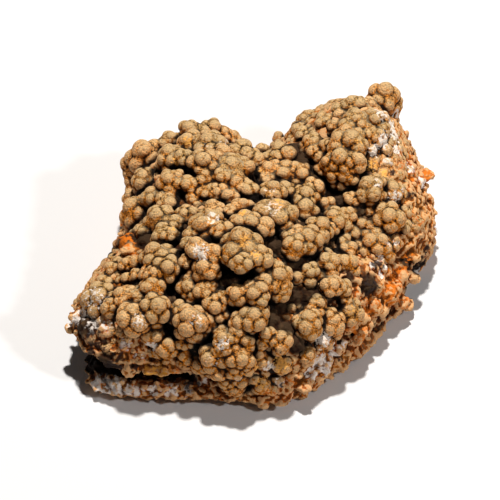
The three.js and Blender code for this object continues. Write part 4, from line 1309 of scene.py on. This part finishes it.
def rock_material():
    """Rusty granular rock: orange and tan, white bloom and dark specks, with brown-black painted shade in the
    hollows and painted highlights on the ridges.
    """
    colours = bpy.context.scene.mottramite_rock
    material, tree, where = new_material("iron_stained_rock", 0.88)
    broad = noise_value(tree, where, 130.0, 4.0, 0.6, 0.6)
    fine = noise_value(tree, where, 650.0, 4.0, 0.65)
    specks = noise_value(tree, where, 1500.0, 2.0)
    blots = noise_value(tree, where, 260.0, 5.0, 0.65, 0.8)
    color = blended(tree, ramp(tree, broad, 0.36, 0.62), colours.tan, colours.orange)
    color = blended(tree, ramp(tree, fine, 0.56, 0.76, 0.0, 0.7), color, colours.pale)
    color = blended(tree, ramp(tree, specks, 0.62, 0.7, 0.0, 0.8), color, colours.dark)
    color = blended(tree, ramp(tree, blots, 0.58, 0.7, 0.0, 0.7), color, colours.dark)
    finish_material(tree, where, color, ROCK_LOOK)
    return material


# Settings that a user would change

def fineness_setting(description, default, least, most):
    return FloatProperty(name="Fineness", description=description, default=default, min=least, max=most,
                         subtype="DISTANCE", unit="LENGTH", precision=5)


def colour_setting(name, description, red, green, blue):
    return FloatVectorProperty(name=name, description=description, default=srgb(red, green, blue), size=3,
                               subtype="COLOR", min=0, max=1)


class MottramiteCrust(bpy.types.PropertyGroup):
    voxel: fineness_setting("Edge of the smallest detail of the crust", 0.00026, 0.0002, 0.001)
    crown: colour_setting("Crown", "Colour of the knobs' tops", 151, 117, 70)
    flank: colour_setting("Flank", "Colour of the knobs' lower sides", 182, 108, 24)
    pinkish: colour_setting("Pinkish", "Colour that some knobs lean to", 208, 148, 90)
    olive: colour_setting("Olive", "Colour that other knobs lean to", 122, 90, 44)


class MottramiteRock(bpy.types.PropertyGroup):
    voxel: fineness_setting("Edge of the smallest detail of the rock", 0.0004, 0.0003, 0.002)
    tan: colour_setting("Tan", "Colour of the rock's paler parts", 188, 112, 38)
    orange: colour_setting("Orange", "Colour of the rock where it is rusty", 172, 86, 16)
    pale: colour_setting("Pale", "Colour of the rock's dusty grains", 226, 176, 120)
    dark: colour_setting("Dark", "Colour of the rock's dark specks", 52, 24, 10)


class MottramiteStage(bpy.types.PropertyGroup):
    look_down: FloatProperty(name="Look down", description="How far the camera looks down",
                             default=math.radians(45), subtype="ANGLE", unit="ROTATION")
    aim: FloatVectorProperty(name="Aim", description="The spot in the middle of the view",
                             default=(-0.0005, 0.002, 0.01), size=3, subtype="TRANSLATION", unit="LENGTH")
    distance: FloatProperty(name="Distance", description="From the camera to the spot it looks at",
                            default=1.7361, subtype="DISTANCE", unit="LENGTH")
    lens: FloatProperty(name="Lens", description="Focal length in millimetres", default=500)


# Finishing a piece

def dress(mesh, name, node, material):
    """Makes the finished object of a mesh and ties it to the frame."""
    mesh.name = name
    mesh.materials.clear()
    mesh.materials.append(material)
    mesh.polygons.foreach_set("use_smooth", np.ones(len(mesh.polygons), bool))
    mesh.update()
    thing = plain_object(name, mesh)
    thing["stained"] = True
    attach(thing, ROOT)
    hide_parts(node)
    return thing


def buried_in_rock(mesh):
    places = own_places(mesh)
    return places[:, 2] < bed_height(places[:, 0], places[:, 1]) - BURIED_MARGIN


def under_the_crust(mesh):
    """The rock's top well inside the crust, where no light reaches."""
    places = own_places(mesh)
    bearing = np.arctan2(places[:, 1], places[:, 0])
    share = np.hypot(places[:, 0], places[:, 1]) / around(ROCK_REACH, bearing)
    return (share < around(SHEET_EDGE, bearing) - UNDER_CRUST_MARGIN) & (places[:, 2] > UNDER_CRUST_FROM)


def weathered(mesh, piece):
    tree = tree_of("Weathered skin", weather_tree)
    return through_modifiers(mesh, lambda thing: grown_with(thing, tree, **WEATHER[piece]))


def with_knobs_grown(mesh, shelf, material, voxel=None):
    """Knobs on every point of the mesh, joined to one skin when a voxel size is given."""
    def grow(thing):
        grown_with(thing, tree_of("Botryoidal growth", growth_tree), knobs=shelf, material=material)
        if voxel:
            voxel_joined(thing, voxel)

    return through_modifiers(mesh, grow)


def crust_points():
    form = rock_form()
    points = grown_points(form)
    bpy.data.meshes.remove(form)
    return points


# One operator for each group of pieces

class MOTTRAMITE_OT_crust(bpy.types.Operator):
    """Grow the knobby crust, one mass after another"""
    bl_idname = "mottramite.crust"
    bl_label = "Mottramite crust"

    def execute(self, context):
        voxel = context.scene.mottramite_crust.voxel * 1
        material = mottramite_material()
        points = crust_points()
        look_up = solid_share(points)
        shelf = knob_kinds(material)
        for mass in KNOBS:
            own = points["mass"] == mass
            mesh = point_mesh(
                mass, in_metres(points["place"][own]), size=points["size"][own] * MM,
                kind=points["kind"][own].astype(int), turn=points["turn"][own])
            mesh = without_crumbs(with_knobs_grown(mesh, shelf, material, voxel))
            mesh = thinned(mesh, buried_in_rock(mesh), KEPT_WHERE_HIDDEN, PIECE_TRIANGLES)
            store(mesh, "rough", np.ones(len(mesh.vertices)))
            mesh = weathered(mesh, "crust")
            describe_surface(mesh, look_up, points)
            dress(mesh, f"mottramite_{mass}_mass", "mottramite_crust", material)
        clear_shelf(shelf)
        return {"FINISHED"}


def hollow_balls(listed):
    """Each listed hollow as a ball: its middle and radius."""
    rows = np.array(listed, float)
    seat, to_eye, _ = seats(rows[:, :2])
    return list(zip(seat - to_eye * rows[:, 3:4], rows[:, 2]))


def carved(places, hollows):
    """Pushes a surface in wherever a ball-shaped hollow lies on it."""
    places = places.copy()
    for centre, radius in hollows:
        away = places - centre
        far = np.linalg.norm(away, axis=1)
        inside = far < radius
        places[inside] = centre + away[inside] / np.maximum(far[inside], 1e-6)[:, None] * radius
    return places


def carve_mesh(mesh, hollows, lowest=-math.inf):
    places = own_places(mesh)
    places[:, 2] = np.maximum(places[:, 2], lowest)
    move_vertices(mesh, in_metres(carved(places, hollows)))


def rock_crumbs(form):
    """Lumps and crumbs of the bare rock, as loose points that carry a size, a kind and a turn."""
    rule = CRUMBS
    draw = rng_for("rock")
    lumps = np.array(ROCK_LUMPS, float)
    _, lump_place, _ = laid_on_rock(lumps)
    spots, facing, cover, _ = scattered(form, rule["spacing"], 9)
    wanted = np.where(spots[:, 0] > 0, rule["share_right"], rule["share_left"])
    bare = (cover < rule["most_cover"]) & (spots[:, 2] > rule["lowest"])
    bare &= draw.uniform(0, 1, len(cover)) < wanted
    crumb_radius = draw.uniform(*rule["radius"], bare.sum())
    out = crumb_radius * draw.uniform(*rule["out"], bare.sum())
    place = np.concatenate([lump_place, spots[bare] + facing[bare] * out[:, None]])
    radius = np.concatenate([lumps[:, 2], crumb_radius])[:, None]
    many = len(place)
    flake = ((place[:, 0] < 0) | (draw.uniform(0, 1, many) < FLAKE_SHARE))[:, None]
    size = radius * np.where(flake, FLAKE_SHAPE, 1.0) * draw.uniform(*rule["stretch"], (many, 3)) * MM
    kind = draw.choice(KINDS["small"], many)
    turn = draw.uniform(0, TURN, (many, 3)) * np.where(flake, FLAKE_TURN, 1)
    return point_mesh("rock_crumbs", in_metres(place), size=size, kind=kind, turn=turn)


def joined_mesh(name, *meshes):
    work = bmesh.new()
    for mesh in meshes:
        work.from_mesh(mesh)
        bpy.data.meshes.remove(mesh)
    joined = bpy.data.meshes.new(name)
    work.to_mesh(joined)
    work.free()
    return joined


class MOTTRAMITE_OT_rock(bpy.types.Operator):
    """Break the rusty rock that the crust grew on"""
    bl_idname = "mottramite.rock"
    bl_label = "Matrix rock"

    def execute(self, context):
        voxel = context.scene.mottramite_rock.voxel * 1
        material = rock_material()
        form = rock_form()
        shelf = knob_kinds(material)
        grains = with_knobs_grown(rock_crumbs(form), shelf, material)
        clear_shelf(shelf)

        hollows = hollow_balls(ROCK_HOLLOWS + GULLIES)
        carve_mesh(form, hollows)
        carve_mesh(grains, hollows, LOWEST_GRAIN)
        joined = joined_mesh("rock_joined", form, grains)
        mesh = without_crumbs(through_modifiers(joined, lambda thing: voxel_joined(thing, voxel)))
        hidden = under_the_crust(mesh) | (own_places(mesh)[:, 2] < UNDERSIDE)
        mesh = thinned(mesh, hidden, KEPT_WHERE_HIDDEN, PIECE_TRIANGLES)
        store(mesh, "rough", smooth(ROUGH_FROM, ROUGH_FULL, own_places(mesh)[:, 2]))
        mesh = weathered(mesh, "rock")

        places = places_of(mesh)
        places[:, 2] = np.maximum(places[:, 2], 0)
        move_vertices(mesh, places)
        mesh.update()
        describe_surface(mesh, solid_share(crust_points()), None)
        dress(mesh, "matrix_rock_body", "matrix_rock", material)
        return {"FINISHED"}


def spots_looked_at(context, pieces):
    """Each stain's spots where the line of sight meets the pieces: its place, radius and strength."""
    eye, right, up, aim = sight()
    graph = context.evaluated_depsgraph_get()
    looked_at = [BVHTree.FromObject(thing, graph) for thing in pieces]
    start = Vector(in_metres(eye).tolist())
    found = {}
    for stain, rows in STAINS_AND_SHADE.items():
        found[stain] = []
        for across, high, radius, strength in rows:
            through = Vector(in_metres(aim + across * right + high * up).tolist())
            way = (through - start).normalized()
            hits = [tree.ray_cast(start, way) for tree in looked_at]
            hits = [hit for hit in hits if hit[0] is not None]
            if hits:
                spot = min(hits, key=lambda hit: hit[3])[0]
                found[stain].append((np.array(spot) / MM - MIDDLE, radius * STAIN_SPREAD[stain], strength))
    return found


def gully_shade_share(places):
    """How much painted shade each place gets: 1 in the gullies and hollows between the knobs, 0 away from
    them.
    """
    depth = np.zeros(len(places))
    for centre, radius in hollow_balls(GULLIES):
        far = np.linalg.norm(places - centre, axis=1)
        depth = np.maximum(depth, smooth(*GULLY_SHADE, far / radius))
    return depth


class MOTTRAMITE_OT_stains_and_shade(bpy.types.Operator):
    """Lay frost, ochre, rust and soot on the crust and the rock, and painted shade in the gullies; the soot
    is partly painted shade too
    """
    bl_idname = "mottramite.stains"
    bl_label = "Stains and shade"

    def execute(self, context):
        pieces = [thing for thing in context.scene.objects if thing.get("stained")]
        if not pieces:
            raise RuntimeError("grow the crust and the rock before the stains")
        found = spots_looked_at(context, pieces)
        for thing in pieces:
            places = own_places(thing.data)
            # The depth attribute carries the painted shade of the gullies.
            store(thing.data, "depth", gully_shade_share(places))
            for stain, spots in found.items():
                value = np.zeros(len(places))
                for spot, radius, strength in spots:
                    far = np.linalg.norm(places - spot, axis=1)
                    value = np.maximum(value, strength * smooth(*STAIN_FADE, far / radius))
                store(thing.data, stain, value)
        return {"FINISHED"}


def area_light(name, place, power, size, colour):
    lamp = bpy.data.lights.new(name, "AREA")
    lamp.energy = power
    lamp.size = size
    lamp.color = colour
    thing = plain_object(name, lamp)
    thing.location = place
    thing.rotation_euler = (-Vector(place)).to_track_quat("-Z", "Y").to_euler()
    return thing


def pale_floor():
    half, drop = FLOOR_HALF, FLOOR_DROP
    mesh = bpy.data.meshes.new("floor")
    mesh.from_pydata(
        [(-half, -half, -drop), (half, -half, -drop), (half, half, -drop), (-half, half, -drop)],
        [], [(0, 1, 2, 3)])
    white = bpy.data.materials.new("white_floor")
    white.use_nodes = True
    shader = white.node_tree.nodes["Principled BSDF"]
    for label, value in {"Base Color": FLOOR_COLOUR, "Roughness": 0.9, "Specular IOR Level": 0.1}.items():
        shader.inputs[label].default_value = value
    mesh.materials.append(white)
    return plain_object("floor", mesh)


class MOTTRAMITE_OT_stage(bpy.types.Operator):
    """Set the white floor, the lights and the camera"""
    bl_idname = "mottramite.stage"
    bl_label = "Stage"

    def execute(self, context):
        scene = context.scene
        stage = scene.mottramite_stage
        floor = pale_floor()

        world = bpy.data.worlds.new("studio")
        world.use_nodes = True
        sky = world.node_tree.nodes["Background"].inputs
        sky["Color"].default_value = SKY_COLOUR
        sky["Strength"].default_value = SKY_STRENGTH
        scene.world = world
        for label, light in LIGHTS.items():
            area_light(label, *light)

        down = stage.look_down
        to_eye = Vector((0, -math.cos(down), math.sin(down)))
        lens = bpy.data.cameras.new("camera")
        lens.lens = stage.lens
        lens.sensor_width = SENSOR_WIDTH
        lens.clip_start, lens.clip_end = 0.05, 20
        camera = plain_object("camera", lens)
        camera.location = Vector(stage.aim) + to_eye * stage.distance
        camera.rotation_euler = (-to_eye).to_track_quat("-Z", "Y").to_euler()
        scene.camera = camera
        scene.view_settings.view_transform = "Standard"
        return {"FINISHED"}


class MOTTRAMITE_PT_panel(bpy.types.Panel):
    """Lists the specimen's settings and steps"""
    bl_label = "Mottramite"
    bl_idname = "MOTTRAMITE_PT_panel"
    bl_space_type = "VIEW_3D"
    bl_region_type = "UI"
    bl_category = "Mottramite"

    def draw(self, context):
        for group in (context.scene.mottramite_crust, context.scene.mottramite_rock,
                      context.scene.mottramite_stage):
            box = self.layout.box()
            for label in group.__annotations__:
                box.prop(group, label)
        for step in STEPS:
            self.layout.operator(step.bl_idname)


STEPS = [MOTTRAMITE_OT_crust, MOTTRAMITE_OT_rock, MOTTRAMITE_OT_stains_and_shade, MOTTRAMITE_OT_stage]
GROUPS = {
    "mottramite_crust": MottramiteCrust,
    "mottramite_rock": MottramiteRock,
    "mottramite_stage": MottramiteStage,
}


def register():
    for kind in [*GROUPS.values(), *STEPS, MOTTRAMITE_PT_panel]:
        bpy.utils.register_class(kind)
    for label, kind in GROUPS.items():
        setattr(bpy.types.Scene, label, PointerProperty(type=kind))


def unregister():
    for label in GROUPS:
        delattr(bpy.types.Scene, label)
    for kind in [MOTTRAMITE_PT_panel, *reversed(STEPS), *GROUPS.values()]:
        bpy.utils.unregister_class(kind)


def main():
    register()
    bpy.ops.mottramite.crust()
    bpy.ops.mottramite.rock()
    bpy.ops.mottramite.stains()
    bpy.ops.mottramite.stage()


if __name__ == "__main__":
    main()
